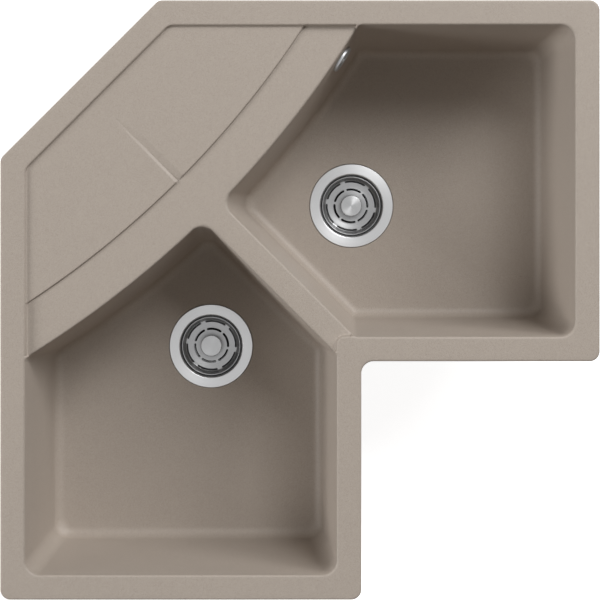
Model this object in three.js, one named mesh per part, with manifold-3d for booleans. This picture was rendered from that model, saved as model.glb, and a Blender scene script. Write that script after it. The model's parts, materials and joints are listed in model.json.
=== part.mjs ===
// A corner kitchen sink for the inside corner of an L-shaped worktop, in millimetres, +Z up.
//
// One casting in speckled granite composite holds a drainer plate behind, two bowls with a
// divider between them, and a rim that lies on the worktop. Each bowl drains through a
// basket strainer waste, one bowl has an overflow, and six clips hold the casting down.
//
// Plan distances u and w are measured from the corner of the room, along its two walls. The
// casting is its own mirror image when u and w change places. The worktop is z = 0, and the
// origin lies on the rim's underside, at the inner corner of the L.

import * as THREE from 'three';
import { mergeVertices } from 'three/addons/utils/BufferGeometryUtils.js';
import Module from 'manifold-3d';

const wasm = await Module();
wasm.setup();

// ---- Driving dimensions ----

// The casting in plan
const SIDE = 830;             // outer length along each wall
const LEG = 500;              // depth of each leg of the L
const CHAMFER = 219;          // length that the chamfer takes off each wall side
const RIM_WIDTH = 34;
const SEAT_WIDTH = 14;        // flat underside of the rim, outside the cut-out
const OUTER_ROUND = 14;       // corner radii of the outline
const NOTCH_ROUND = 17;
const DRAINER_REACH = 350;    // from the room's corner to the drainer plate's curved edge
const DRAINER_RADIUS = 1328;  // of that edge
const TERRACE_WIDTH = 63;     // from the drainer plate to the bowls
const DIVIDER_WIDTH = 34;
const WELL_ROUND = 18;        // the rim's inner corners beside the chamfer,
const WELL_NOTCH_ROUND = 11;  // and behind the notch

// The casting's levels
const RIM_TOP = 9;            // above the worktop
const RIM_EDGE = 3;           // rounding of the rim's outer edge
const DRAINER_DROP = 4.5;     // from the rim's top to the drainer plate
const TERRACE_DROP = 8;       // from the rim's top to the terrace and the divider
const DECK = 10;              // thickness under the terrace

// The groove along the drainer plate's middle
const GROOVE_MARGIN = 28;     // from the chamfer's rim to where it begins
const GROOVE_NARROW = 2;
const GROOVE_SHALLOW = 0.6;   // its depth where it begins
const GROOVE_WIDE = 11;

// The bowls
const BOWL_DEPTH = 200;       // from the rim's top to the foot of the walls
const DRAFT = 4.5;            // degrees that each wall leans outwards
const WALL = 9;
const FLOOR_FILLET = 16;
const FLOOR_FALL = 5;         // from the foot of the walls to the drain
const FLOOR = 11;             // thickness at the drain
const FAR_ROUND = 21;         // vertical corners: far from the drainer,
const NOSE_ROUND = 22;        // at the divider's head,
const FOOT_ROUND = 14;        // at the divider's foot
const ARC_ROUND = 14;         // and where the curved wall meets the rim
const DRAIN_U = 494.5;        // the drain's centre in the bowl that lies along u
const DRAIN_W = 283.2;
const DRAIN_FLAT = 8;         // level land round the drain's seat

// The basket strainer wastes
const FLANGE_RADIUS = 63;
const FLANGE_PROUD = 1.5;     // above the floor
const SHEET = 1.2;            // steel of the dish
const DISH_RADIUS = 46.2;     // at its mouth
const DISH_DEPTH = 36;
const DISH_WALL = 12;         // depth of its upright wall, above the tapered one
const DISH_TAPER = 2;         // that the upright wall draws in
const DISH_FLOOR_RADIUS = 33;
const DISH_BEND = 4;
const DISH_HOLES = 6;
const DISH_HOLE_RADIUS = 5.5;
const DISH_HOLE_CIRCLE = 17;
const SEAL = 1;               // rubber under the flange
const GASKET = 2.5;           // rubber under the casting
const SEAL_MARGIN = 1;        // from the throat to the rubber
const WASTE_FLANGE_RADIUS = 58;
const WASTE_FLANGE = 4;
const CHAMBER_RADIUS = 49.8;
const CHAMBER_DEPTH = 37;
const PLASTIC = 2.8;          // wall of the moulded pieces
const OUTLET_RADIUS = 23.9;   // a 1 1/2 inch pipe thread
const OUTLET_BORE = 18.5;
const OUTLET_LENGTH = 22;
const CONE = 18;              // height from the chamber down to the outlet
const NUT_GRIP = 17;          // length of the nut over the outlet's thread
const NUT_WALL = 5;
const NUT_LEDGE = 2;          // that its hole is wider than the outlet's bore
const NUT_RIBS = 6;
const NUT_RIB = 2;
const WASHER = 3;

// The basket, its knob, stem and stopper
const BASKET_RADIUS = 43;
const BASKET_DROP = 4;        // from the flange's top to the basket's rim
const BASKET_DEPTH = 13.5;    // from its rim to its floor
const BASKET_FLOOR_RADIUS = 31;
const BASKET_BEND = 4;
const BASKET_SLOPE = 60;      // degrees of its wall
const BASKET_LIP = 1;         // of its rim, beyond the wall
const BASKET_SHEET = 1;
const BASKET_SLOTS = 6;
const SLOT_WIDTH = 2;
const SLOT_SWEEP = 50;        // degrees
const SLOT_TURN = 80;         // degrees from +X to the middle of the first slot
const INNER_SLOTS_RADIUS = 24.5;
const OUTER_SLOTS_RADIUS = 36.4;
const KNOB_RADIUS = 15.75;
const KNOB_HEIGHT = 11.6;
const KNOB_DOME = 1.8;        // rise of its top
const KNOB_BAND = 1.4;        // height of its straight edge
const KNOB_NECK_RADIUS = 6.3;
const STUD_RADIUS = 3;        // the knob's stud, which goes through the basket
const STUD_LENGTH = 5;        // below the basket
const STEM_RADIUS = 8;
const STEM_FLANGE_RADIUS = 14;
const STEM_LIP = 1.4;         // width and height of its foot's lip
const STOPPER_RADIUS = 26;
const STOPPER_HEIGHT = 4;
const STOPPER_EDGE = 2.5;     // its rounded rim
const SCREW_RADIUS = 3;       // the waste's centre screw
const SCREW_HEAD_RADIUS = 5.5;
const SCREW_HEAD = 3.2;
const SCREW_LENGTH = 21;

// The overflow
const OVERFLOW_W = 73.2;      // its distance from the room's wall
const OVERFLOW_DROP = 56;     // from the rim's top to its centre
const OVERFLOW_BORE = 13;
const OVERFLOW_GASKET = 2;
const OVERFLOW_SCREW_RADIUS = 2;
const OVERFLOW_HEAD_RADIUS = 4;
const OVERFLOW_HEAD = 1.4;
const OVERFLOW_BITE = 17;     // length of the screw in the elbow's boss
const ROSETTE_RADIUS = 20;
const ROSETTE_HEIGHT = 3.4;
const ROSETTE_SHEET = 1.3;
const ROSETTE_EDGE = 3;       // width of its rounded edge
const ROSETTE_SLOTS = 8;
const ROSETTE_SLOT_WIDTH = 2.4;
const ROSETTE_SLOT_SWEEP = 30; // degrees
const ROSETTE_SLOTS_RADIUS = 11.2;
const ELBOW_FLANGE_RADIUS = 21;
const ELBOW_RADIUS = 17;
const ELBOW_DEPTH = 30;
const SPIGOT_RADIUS = 9.5;
const SPIGOT_BORE = 7.4;
const SPIGOT_LENGTH = 17;     // that stands out of what carries it
const HOSE_WALL = 1.2;
const HOSE_RIB = 1.5;         // how far the ribs stand out
const HOSE_PITCH = 12;
const HOSE_CUFF = 24;         // plain length at each end
const HOSE_GRIP = 14;         // length of hose over each spigot
const HOSE_BEND = 48;
const HOSE_LEVEL = 17;        // from the waste body's top to the hose's lower run
const CLAMP_WIDTH = 9;
const CLAMP_BAND = 1;
const CLAMP_HOUSING = 12;     // length of the screw's housing on its band
const CLAMP_HOUSING_HEIGHT = 6;

// The clips, each on a boss under the rim
const CLIP_INSET = 20;        // from the outline to the clip's screw
const BOSS_WIDTH = 16;
const BOSS_DEPTH = 34;
const BOSS_MARGIN = 13;       // from the outline to the boss
const INSERT_RADIUS = 3.7;
const INSERT_LENGTH = 22;
const CLIP_SCREW_RADIUS = 2.5;
const CLIP_SCREW_LENGTH = 52;
const CLIP_ENGAGED = 12;      // length of the screw in its insert at rest
const CLIP_TRAVEL = 22;
const CLIP_HEAD_RADIUS = 5;
const CLIP_HEAD = 4;
const CLAW_WIDTH = 12;
const CLAW_SHEET = 2;
const CLAW_RISE = 28;
const CLAW_TAIL = 7;
const CLAW_WEB = 14;          // from the screw to the upright web
const CLAW_REACH = 24;        // from the screw to the claw's tip
const DRIVE_WIDTH = 1.2;      // screwdriver slots
const DRIVE_DEPTH = 1.5;

// Places of the clips
const CLIP_BACK = 300;        // along the walls, from the end of each leg
const CLIP_FRONT = 140;       // along the notch, from the end of each leg
const CLIP_END = 265;         // along the end of each leg, from the wall

// Clearances and fineness
const GAP = 0.3;              // between pieces that touch
const RUN = 0.5;              // between pieces that slide past each other
const PAST = 1;               // that a cut runs past what it cuts
const CORNER_STEPS = 4;
const ARC_STEPS = 10;
const FILLET_STEPS = 3;
const FINE = 24;              // sides of the round pieces that show
const PLAIN = 16;             // and of those underneath
const SMALL = 10;
const HOSE_SIDES = 8;
const BORE_EVERY = 5;         // ribs from one ring of the hose's bore to the next

// ---- Worked out from them ----
const DIAGONAL = Math.SQRT1_2;
const ORIGIN = LEG;
const ARC_CENTRE = (DRAINER_REACH - DRAINER_RADIUS) * DIAGONAL; // u and w, for both arcs
const BOWL_RADIUS = DRAINER_RADIUS + TERRACE_WIDTH;
const DRAINER_Z = RIM_TOP - DRAINER_DROP;
const TERRACE_Z = RIM_TOP - TERRACE_DROP;
const FLOOR_Z = RIM_TOP - BOWL_DEPTH;
const DRAIN_Z = FLOOR_Z - FLOOR_FALL;
const UNDER_Z = DRAIN_Z - FLOOR;
const FLANGE_Z = DRAIN_Z + FLANGE_PROUD;
const SEAL_Z = FLANGE_Z - SHEET - GAP;
const SEAT_Z = SEAL_Z - SEAL - GAP;
const THROAT_RADIUS = DISH_RADIUS + 2 * SHEET;
const DISH_Z = FLANGE_Z - DISH_DEPTH;
const BASKET_Z = FLANGE_Z - BASKET_DROP - BASKET_DEPTH;
const GASKET_Z = UNDER_Z - GAP;
const BODY_Z = GASKET_Z - GASKET - GAP;
const SCREW_FOOT = DISH_Z + GAP - SCREW_LENGTH;
const OUTLET_Z = BODY_Z - CHAMBER_DEPTH - CONE - OUTLET_LENGTH;
const ELBOW_FRONT = -WALL - OVERFLOW_GASKET - 2 * GAP;
const ELBOW_BACK = ELBOW_FRONT - ELBOW_DEPTH;
const CHAMBER_AXIS = ELBOW_BACK + SPIGOT_RADIUS + PLASTIC;
const HOSE_BORE = (SPIGOT_RADIUS + GAP) / Math.cos(Math.PI / HOSE_SIDES);
const HOSE_SKIN = HOSE_BORE + HOSE_WALL;
const SPIGOT_END = CHAMBER_RADIUS + PLASTIC + SPIGOT_LENGTH;
const LEAN = THREE.MathUtils.degToRad(DRAFT);
const SLANT = Math.tan(LEAN);

// ---- Solids ----

// The geometry as one closed body with its faces pointing out: doubled points are merged,
// flat slivers are dropped, and the whole is turned inside out if its volume is negative.
function closed(geometry) {
  const bare = geometry.clone();
  bare.deleteAttribute('normal');
  bare.deleteAttribute('uv');
  const merged = mergeVertices(bare, 1e-4);
  const at = merged.attributes.position.array;
  const point = (i) => new THREE.Vector3().fromArray(at, 3 * i);
  const triangles = [];
  let volume = 0;
  for (let i = 0; i < merged.index.count; i += 3) {
    const [a, b, c] = merged.index.array.slice(i, i + 3);
    if (a === b || b === c || c === a) continue;
    triangles.push([a, b, c]);
    volume += point(a).dot(point(b).cross(point(c)));
  }
  const outward = volume < 0 ? triangles.map(([a, b, c]) => [a, c, b]) : triangles;
  merged.setIndex(outward.flat());
  return merged;
}

function toSolid(geometry) {
  const body = closed(geometry);
  const vertProperties = new Float32Array(body.attributes.position.array);
  const triVerts = new Uint32Array(body.index.array);
  return new wasm.Manifold(new wasm.Mesh({ numProp: 3, vertProperties, triVerts }));
}

function fromSolid(solid) {
  const { vertProperties, triVerts, numProp } = solid.getMesh();
  const geometry = new THREE.BufferGeometry();
  geometry.setAttribute('position', new THREE.BufferAttribute(vertProperties, numProp));
  geometry.setIndex(new THREE.BufferAttribute(triVerts, 1));
  return geometry;
}

const union = (geometries) => geometries.map(toSolid).reduce((all, one) => all.add(one));

const joined = (geometries) => fromSolid(union(geometries));

// A geometry less the others.
const carved = (geometry, cuts) => fromSolid(toSolid(geometry).subtract(union(cuts)));

// A closed body through rings of equally many points, with flat ends.
function loft(rings) {
  const count = rings[0].length;
  const index = [];
  for (let r = 0; r + 1 < rings.length; r++) {
    for (let i = 0; i < count; i++) {
      const a = r * count + i;
      const b = r * count + ((i + 1) % count);
      index.push(a, b, b + count, a, b + count, a + count);
    }
  }
  const cap = (ring, first, sense) => {
    const flat = ring.map(([x, y]) => new THREE.Vector2(x, y));
    const way = Math.sign(THREE.ShapeUtils.area(flat)) * sense;
    for (const [a, b, c] of THREE.ShapeUtils.triangulateShape(flat, [])) {
      const turn = Math.sign(THREE.ShapeUtils.area([flat[a], flat[b], flat[c]]));
      index.push(...(turn === way ? [a, b, c] : [a, c, b]).map((i) => i + first));
    }
  };
  cap(rings[0], 0, -1);
  cap(rings[rings.length - 1], (rings.length - 1) * count, 1);
  const geometry = new THREE.BufferGeometry();
  geometry.setAttribute('position', new THREE.Float32BufferAttribute(rings.flat(2), 3));
  geometry.setIndex(index);
  return geometry;
}

// A profile of [radius, height] turned about Z.
function turned(profile, sides) {
  const points = profile.map(([radius, height]) => new THREE.Vector2(radius, height));
  return closed(new THREE.LatheGeometry(points, sides).rotateX(Math.PI / 2));
}

// Points of a rounded bend in a profile, about a centre, between two angles in degrees.
function bend(radius, height, round, from, to, steps) {
  return Array.from({ length: steps + 1 }, (_, k) => {
    const angle = THREE.MathUtils.degToRad(from + ((to - from) * k) / steps);
    return [radius + round * Math.cos(angle), height + round * Math.sin(angle)];
  });
}

// The profile of a pressed sheet: a line from its inner to its outer edge, and back along the
// same line moved down by the sheet's thickness, square to it.
function pressed(line, thickness) {
  const under = line.map(([radius, height], i) => {
    const before = line[Math.max(i - 1, 0)];
    const here = line[i];
    const after = line[Math.min(i + 1, line.length - 1)];
    const way = (from, to) => Math.atan2(to[1] - from[1], to[0] - from[0]);
    const first = i > 0 ? way(before, here) : way(here, after);
    const last = i + 1 < line.length ? way(here, after) : first;
    const middle = (first + last) / 2;
    const reach = thickness / Math.cos((last - first) / 2);
    return [radius + reach * Math.sin(middle), height - reach * Math.cos(middle)];
  });
  return [...line, ...under.reverse(), line[0]];
}

// A ring or tube of square section about Z.
function collar(inner, outer, low, high, sides) {
  const profile = [[inner, low], [outer, low], [outer, high], [inner, high], [inner, low]];
  return turned(profile, sides);
}

// A plain round bar about Z.
function rod(radius, low, high, sides) {
  return turned([[0, low], [radius, low], [radius, high], [0, high]], sides);
}

// Prisms along arcs, evenly spaced on a circle about Z, for cutting slots.
function arcSlots({ count, radius, width, sweep, turn, low, high }) {
  const steps = 3;
  return Array.from({ length: count }, (_, k) => {
    const middle = turn + (360 / count) * k;
    const edge = (r, way) => Array.from({ length: steps + 1 }, (__, i) => {
      const angle = THREE.MathUtils.degToRad(middle + way * sweep * (i / steps - 0.5));
      return [r * Math.cos(angle), r * Math.sin(angle)];
    });
    const outline = [...edge(radius + width / 2, 1), ...edge(radius - width / 2, -1)];
    return loft([low, high].map((z) => outline.map(([x, y]) => [x, y, z])));
  });
}

// ---- The plan: outlines with straight and curved sides ----

const at = (u, w, z) => [u - ORIGIN, ORIGIN - w, z];

// A straight side keeps the points with nu * u + nw * w >= c inside, and a curved one keeps
// those beyond its circle (sense 1) or within it (sense -1).
const straight = (nu, nw, c) => ({ n: [nu, nw], c });
const curved = (radius, sense) => ({ radius, sense });

const OUTLINE = [
  straight(0, 1, 0),
  straight(-1, 0, -SIDE),
  straight(0, -1, -LEG),
  straight(-1, 0, -LEG),
  straight(0, -1, -SIDE),
  straight(1, 0, 0),
  straight(DIAGONAL, DIAGONAL, CHAMFER * DIAGONAL),
];
// The third corner is the notch, which turns the other way.
const outlineRounds = (inset) => OUTLINE.map((_, i) => (
  i === 2 ? -(NOTCH_ROUND + inset) : Math.max(OUTER_ROUND - inset, RIM_EDGE)));
const WELL_ROUNDS = [
  FAR_ROUND, FAR_ROUND, -WELL_NOTCH_ROUND, FAR_ROUND, FAR_ROUND, WELL_ROUND, WELL_ROUND,
];

const BOWL = [
  straight(0, 1, RIM_WIDTH),
  straight(-1, 0, RIM_WIDTH - SIDE),
  straight(0, -1, RIM_WIDTH - LEG),
  straight(DIAGONAL, -DIAGONAL, DIVIDER_WIDTH / 2),
  curved(BOWL_RADIUS, 1),
];
const BOWL_ROUNDS = [FAR_ROUND, FAR_ROUND, FOOT_ROUND, NOSE_ROUND, ARC_ROUND];

// The drainer plate runs on under the rim.
const PLATE_LAP = RIM_WIDTH / 4;
const PLATE = [
  straight(0, 1, RIM_WIDTH - PLATE_LAP),
  curved(DRAINER_RADIUS, -1),
  straight(1, 0, RIM_WIDTH - PLATE_LAP),
  straight(DIAGONAL, DIAGONAL, CHAMFER * DIAGONAL + RIM_WIDTH - PLATE_LAP),
];
const PLATE_ROUNDS = PLATE.map(() => PLATE_LAP / 4);

// Where two sides cross, once both are drawn in by inset.
function meet(a, b, inset) {
  if (a.radius) return meet(b, a, inset);
  const [nu, nw] = a.n;
  const c = a.c + inset;
  if (b.radius) {
    const offset = c - (nu + nw) * ARC_CENTRE;
    const half = Math.sqrt((b.radius + b.sense * inset) ** 2 - offset ** 2);
    const ends = [1, -1].map((way) => [
      ARC_CENTRE + nu * offset - way * nw * half,
      ARC_CENTRE + nw * offset + way * nu * half,
    ]);
    return ends.sort((p, q) => q[0] + q[1] - p[0] - p[1])[0];
  }
  const [mu, mw] = b.n;
  const d = b.c + inset;
  const cross = nu * mw - nw * mu;
  return [(c * mw - d * nw) / cross, (nu * d - mu * c) / cross];
}

// The direction into the outline, square to a side, at a point near it.
function inward(side, [u, w]) {
  if (!side.radius) return Math.atan2(side.n[1], side.n[0]);
  const angle = Math.atan2(w - ARC_CENTRE, u - ARC_CENTRE);
  return side.sense > 0 ? angle : angle + Math.PI;
}

// An outline drawn in by inset, its corners rounded. A round below 0 is a corner that turns
// the other way.
function outline(sides, inset, rounds, z) {
  const corners = sides.map((side, i) => {
    const next = sides[(i + 1) % sides.length];
    const round = rounds[i];
    const centre = meet(side, next, inset + round);
    const from = inward(side, centre);
    const turn = inward(next, centre) - from;
    const sweep = Math.atan2(Math.sin(turn), Math.cos(turn));
    return Array.from({ length: CORNER_STEPS + 1 }, (_, k) => {
      const angle = from + (sweep * k) / CORNER_STEPS;
      return [centre[0] - round * Math.cos(angle), centre[1] - round * Math.sin(angle)];
    });
  });
  const points = corners.flatMap((corner, i) => {
    const next = (i + 1) % sides.length;
    if (!sides[next].radius) return corner;
    const radius = sides[next].radius + sides[next].sense * inset;
    const bearing = ([u, w]) => Math.atan2(w - ARC_CENTRE, u - ARC_CENTRE);
    const from = bearing(corner[CORNER_STEPS]);
    const to = bearing(corners[next][0]);
    const between = Array.from({ length: ARC_STEPS - 1 }, (_, k) => {
      const angle = from + ((to - from) * (k + 1)) / ARC_STEPS;
      return [ARC_CENTRE + radius * Math.cos(angle), ARC_CENTRE + radius * Math.sin(angle)];
    });
    return [...corner, ...between];
  });
  return points.map(([u, w]) => at(u, w, z));
}

// ---- The casting ----

// The mirror image, with u and w changed over.
function mirrored(geometry) {
  const swap = new THREE.Matrix4().set(0, -1, 0, 0, -1, 0, 0, 0, 0, 0, 1, 0, 0, 0, 0, 1);
  return geometry.clone().applyMatrix4(swap);
}

const insetAt = (z) => (RIM_TOP - z) * SLANT;

// A bowl's wall from the level top down to a floor: the wall, its fillet and the floor's edge,
// as [inset, z]. The outside of the wall is the same with outset as the wall's thickness.
function wallProfile(top, floor, outset, fillet) {
  const centreZ = floor + fillet;
  const centreInset = insetAt(centreZ) - outset + fillet / Math.cos(LEAN);
  const profile = [[insetAt(top) - outset, top]];
  for (let k = 0; k <= FILLET_STEPS; k++) {
    const angle = LEAN + ((Math.PI / 2 - LEAN) * k) / FILLET_STEPS;
    const reach = fillet * Math.cos(angle);
    profile.push([centreInset - reach, centreZ - fillet * Math.sin(angle)]);
  }
  return profile;
}

function bowlRings(profile, outset) {
  const rounds = BOWL_ROUNDS.map((round) => round + outset);
  return profile.map(([inset, z]) => outline(BOWL, inset, rounds, z));
}

// The hollow of a bowl, down to the level land round its drain.
function bowlHollow() {
  const above = 2 * RIM_TOP;
  const walls = bowlRings(wallProfile(RIM_TOP, FLOOR_Z, 0, FLOOR_FILLET), 0);
  const open = outline(BOWL, 0, BOWL_ROUNDS, above);
  const [x, y] = at(DRAIN_U, DRAIN_W, 0);
  const land = FLANGE_RADIUS + GAP + DRAIN_FLAT;
  const foot = walls[walls.length - 1].map(([px, py]) => {
    const angle = Math.atan2(py - y, px - x);
    return [x + land * Math.cos(angle), y + land * Math.sin(angle), DRAIN_Z];
  });
  return loft([open, ...walls, foot]);
}

function bowlShell() {
  const profile = wallProfile(TERRACE_Z / 2, UNDER_Z, WALL, FLOOR_FILLET + WALL);
  return loft(bowlRings(profile, WALL));
}

// The drain's seat and throat, cut through the floor.
function drainCuts() {
  const [x, y] = at(DRAIN_U, DRAIN_W, 0);
  const seat = rod(FLANGE_RADIUS + GAP, SEAT_Z, DRAIN_Z + FLOOR_FALL, FINE);
  const throat = rod(THROAT_RADIUS, UNDER_Z - PAST, DRAIN_Z, FINE);
  return [seat, throat].map((cut) => cut.translate(x, y, 0));
}

// The drainer plate stands above the terrace, and its groove drains onto it.
function drainerPlate() {
  return loft([TERRACE_Z - DECK / 2, DRAINER_Z].map((z) => outline(PLATE, 0, PLATE_ROUNDS, z)));
}

// A groove of V section along the mirror line. It widens and deepens until it opens out at the
// terrace's level.
function groove() {
  const start = (CHAMFER * DIAGONAL + RIM_WIDTH + GROOVE_MARGIN) * DIAGONAL;
  const end = DRAINER_REACH * DIAGONAL;
  const section = (along) => {
    const share = (along - start) / (end - start);
    const width = THREE.MathUtils.lerp(GROOVE_NARROW, GROOVE_WIDE, share);
    const depth = THREE.MathUtils.lerp(GROOVE_SHALLOW, DRAINER_Z - TERRACE_Z, share);
    const half = (width / 2) * (1 + PAST / depth) * DIAGONAL;
    return [
      at(along + half, along - half, DRAINER_Z + PAST),
      at(along - half, along + half, DRAINER_Z + PAST),
      at(along, along, DRAINER_Z - depth),
    ];
  };
  const index = [0, 2, 1, 3, 4, 5, 0, 1, 4, 0, 4, 3, 1, 2, 5, 1, 5, 4, 2, 0, 3, 2, 3, 5];
  const geometry = new THREE.BufferGeometry();
  const corners = [...section(start), ...section(end + PAST)];
  geometry.setAttribute('position', new THREE.Float32BufferAttribute(corners.flat(), 3));
  geometry.setIndex(index);
  return geometry;
}

// Each clip's place and the way its claw swings out, as [u, w, outward angle in the plan].
const CLIPS = [
  [SIDE - CLIP_BACK, CLIP_INSET, 90],
  [CLIP_INSET, SIDE - CLIP_BACK, 180],
  [SIDE - CLIP_INSET, CLIP_END, 0],
  [CLIP_END, SIDE - CLIP_INSET, -90],
  [SIDE - CLIP_FRONT, LEG - CLIP_INSET, -90],
  [LEG - CLIP_INSET, SIDE - CLIP_FRONT, 0],
];
const BORE_TOP = CLIP_TRAVEL - BOSS_DEPTH + CLIP_ENGAGED + RUN;

// A piece made at the origin with +X outwards, set at its clip's place.
function atClip(geometry, [u, w, outwards]) {
  const [x, y] = at(u, w, 0);
  return geometry.clone().rotateZ(THREE.MathUtils.degToRad(outwards)).translate(x, y, 0);
}

function clipBoss() {
  const out = CLIP_INSET - BOSS_MARGIN;
  const back = RIM_WIDTH - WALL / 2 - CLIP_INSET;
  const height = BOSS_DEPTH + TERRACE_Z / 2;
  const boss = new THREE.BoxGeometry(out + back, BOSS_WIDTH, height);
  return boss.translate((out - back) / 2, 0, TERRACE_Z / 2 - height / 2);
}

function clipBores() {
  const insertTop = INSERT_LENGTH - BOSS_DEPTH;
  return [
    rod(INSERT_RADIUS + GAP, -BOSS_DEPTH - PAST, insertTop, SMALL),
    rod(CLIP_SCREW_RADIUS + RUN, insertTop - PAST, BORE_TOP, SMALL),
  ];
}

// The overflow's own frame: its origin on the bowl's curved wall, +Z square into the bowl.
function overflowPlace() {
  const z = RIM_TOP - OVERFLOW_DROP;
  const angle = Math.asin((OVERFLOW_W - ARC_CENTRE) / BOWL_RADIUS);
  const radius = BOWL_RADIUS + insetAt(z);
  const [x, y] = at(
    ARC_CENTRE + radius * Math.cos(angle), ARC_CENTRE + radius * Math.sin(angle), z);
  const out = [Math.cos(angle) * Math.cos(LEAN), -Math.sin(angle) * Math.cos(LEAN)];
  const normal = new THREE.Vector3(...out, Math.sin(LEAN));
  const level = new THREE.Vector3(0, 0, 1).cross(normal).normalize();
  const rise = normal.clone().cross(level);
  return new THREE.Matrix4().makeBasis(level, rise, normal).setPosition(x, y, z);
}
const OVERFLOW = overflowPlace();

function sinkBody() {
  const edge = [[0, 0], ...bend(RIM_EDGE, RIM_TOP - RIM_EDGE, RIM_EDGE, 180, 90, 2)];
  const slab = loft(edge.map(([inset, z]) => outline(OUTLINE, inset, outlineRounds(inset), z)));
  const deck = loft([TERRACE_Z - DECK, TERRACE_Z / 2].map((z) => (
    outline(OUTLINE, SEAT_WIDTH, outlineRounds(SEAT_WIDTH), z))));
  const shell = bowlShell();
  const bosses = CLIPS.map((clip) => atClip(clipBoss(), clip));
  const well = loft([TERRACE_Z, 2 * RIM_TOP].map((z) => (
    outline(OUTLINE, RIM_WIDTH, WELL_ROUNDS, z))));
  const hollow = bowlHollow();
  const drains = drainCuts();
  const bores = CLIPS.flatMap((clip) => clipBores().map((bore) => atClip(bore, clip)));
  const hole = rod(OVERFLOW_BORE, -2 * WALL, WALL, PLAIN).applyMatrix4(OVERFLOW);
  const body = union([slab, deck, shell, mirrored(shell), ...bosses])
    .subtract(toSolid(well))
    .add(toSolid(drainerPlate()))
    .subtract(union([groove(), hollow, mirrored(hollow), ...drains, ...drains.map(mirrored)]))
    .subtract(union([...bores, hole]));
  return fromSolid(body);
}

// ---- The basket strainer wastes, each about its own drain ----

// The pressed dish, from its centre hole out to the edge of its flange.
function wasteFlange() {
  const line = [
    [SCREW_RADIUS + GAP, DISH_Z], [DISH_FLOOR_RADIUS - DISH_BEND, DISH_Z],
    [DISH_FLOOR_RADIUS, DISH_Z + DISH_BEND / 3],
    [DISH_FLOOR_RADIUS + DISH_BEND, DISH_Z + DISH_BEND],
    [DISH_RADIUS - DISH_TAPER, FLANGE_Z - DISH_WALL], [DISH_RADIUS, FLANGE_Z - 3 * SHEET],
    [DISH_RADIUS + SHEET, FLANGE_Z - SHEET / 2], [DISH_RADIUS + 3 * SHEET, FLANGE_Z],
    [FLANGE_RADIUS - 2 * SHEET, FLANGE_Z], [FLANGE_RADIUS, FLANGE_Z - SHEET],
  ];
  const holes = Array.from({ length: DISH_HOLES }, (_, k) => (
    rod(DISH_HOLE_RADIUS, DISH_Z - SHEET - PAST, DISH_Z + PAST, SMALL)
      .translate(DISH_HOLE_CIRCLE, 0, 0).rotateZ((2 * Math.PI * k) / DISH_HOLES)));
  return carved(turned(pressed(line, SHEET), FINE), holes);
}

function wasteBody(spigotBearing) {
  const foot = BODY_Z - CHAMBER_DEPTH;
  const neck = foot - CONE;
  const waist = (CHAMBER_RADIUS + PLASTIC + OUTLET_RADIUS) / 2;
  const outside = turned([
    [0, BODY_Z], [WASTE_FLANGE_RADIUS, BODY_Z], [WASTE_FLANGE_RADIUS, BODY_Z - WASTE_FLANGE],
    [CHAMBER_RADIUS + PLASTIC, BODY_Z - WASTE_FLANGE], [CHAMBER_RADIUS + PLASTIC, foot],
    [waist, foot - CONE / 2], [OUTLET_RADIUS, neck], [OUTLET_RADIUS, OUTLET_Z], [0, OUTLET_Z],
  ], PLAIN);
  const inside = turned([
    [0, BODY_Z + PAST], [CHAMBER_RADIUS, BODY_Z + PAST], [CHAMBER_RADIUS, foot],
    [waist - PLASTIC, foot - CONE / 2 + PLASTIC], [OUTLET_BORE, neck],
    [OUTLET_BORE, OUTLET_Z - PAST], [0, OUTLET_Z - PAST],
  ], PLAIN);
  const hubTop = DISH_Z - SHEET - GAP;
  const hubFoot = SCREW_FOOT - PLASTIC;
  const hub = rod(STEM_RADIUS, hubFoot, hubTop, SMALL);
  const ribs = [0, 1, 2].map((k) => (
    new THREE.BoxGeometry(2 * CHAMBER_RADIUS + PLASTIC, PLASTIC, (hubTop - hubFoot) / 2)
      .translate(0, 0, (hubTop + 3 * hubFoot) / 4).rotateZ((Math.PI * k) / 3)));
  const chamber = toSolid(outside).subtract(toSolid(inside)).add(union([hub, ...ribs]));
  const bore = rod(SCREW_RADIUS + GAP, SCREW_FOOT - GAP, hubTop + PAST, SMALL);
  if (spigotBearing === null) return fromSolid(chamber.subtract(toSolid(bore)));
  const spigot = rod(SPIGOT_RADIUS, CHAMBER_RADIUS, SPIGOT_END, PLAIN);
  const way = rod(SPIGOT_BORE, CHAMBER_RADIUS - PLASTIC, SPIGOT_END + PAST, PLAIN);
  const aim = (piece) => piece.rotateY(Math.PI / 2).translate(0, 0, BODY_Z - HOSE_LEVEL)
    .rotateZ(spigotBearing);
  return fromSolid(chamber.add(toSolid(aim(spigot))).subtract(union([bore, aim(way)])));
}

function outletNut() {
  const inner = OUTLET_RADIUS + GAP;
  const outer = inner + NUT_WALL;
  const hole = OUTLET_BORE + NUT_LEDGE;
  const lip = OUTLET_Z - GAP - WASHER - GAP;
  const foot = lip - PLASTIC;
  const top = OUTLET_Z + NUT_GRIP;
  const sleeve = turned([
    [hole, foot], [outer, foot], [outer, top], [inner, top], [inner, lip], [hole, lip],
    [hole, foot],
  ], PLAIN);
  const ribs = Array.from({ length: NUT_RIBS }, (_, k) => (
    new THREE.BoxGeometry(NUT_RIB * 2, NUT_RIB * 2, top - foot - NUT_RIB)
      .translate(outer, 0, (top + foot) / 2).rotateZ((2 * Math.PI * k) / NUT_RIBS)));
  return joined([sleeve, ...ribs]);
}

// The washer's bore is coned, so that the nut squeezes it onto the pipe.
function outletWasher() {
  const top = OUTLET_Z - GAP;
  return turned([
    [OUTLET_BORE, top - WASHER], [OUTLET_RADIUS, top - WASHER], [OUTLET_RADIUS, top],
    [OUTLET_BORE + NUT_LEDGE / 2, top], [OUTLET_BORE, top - WASHER],
  ], PLAIN);
}

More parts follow.
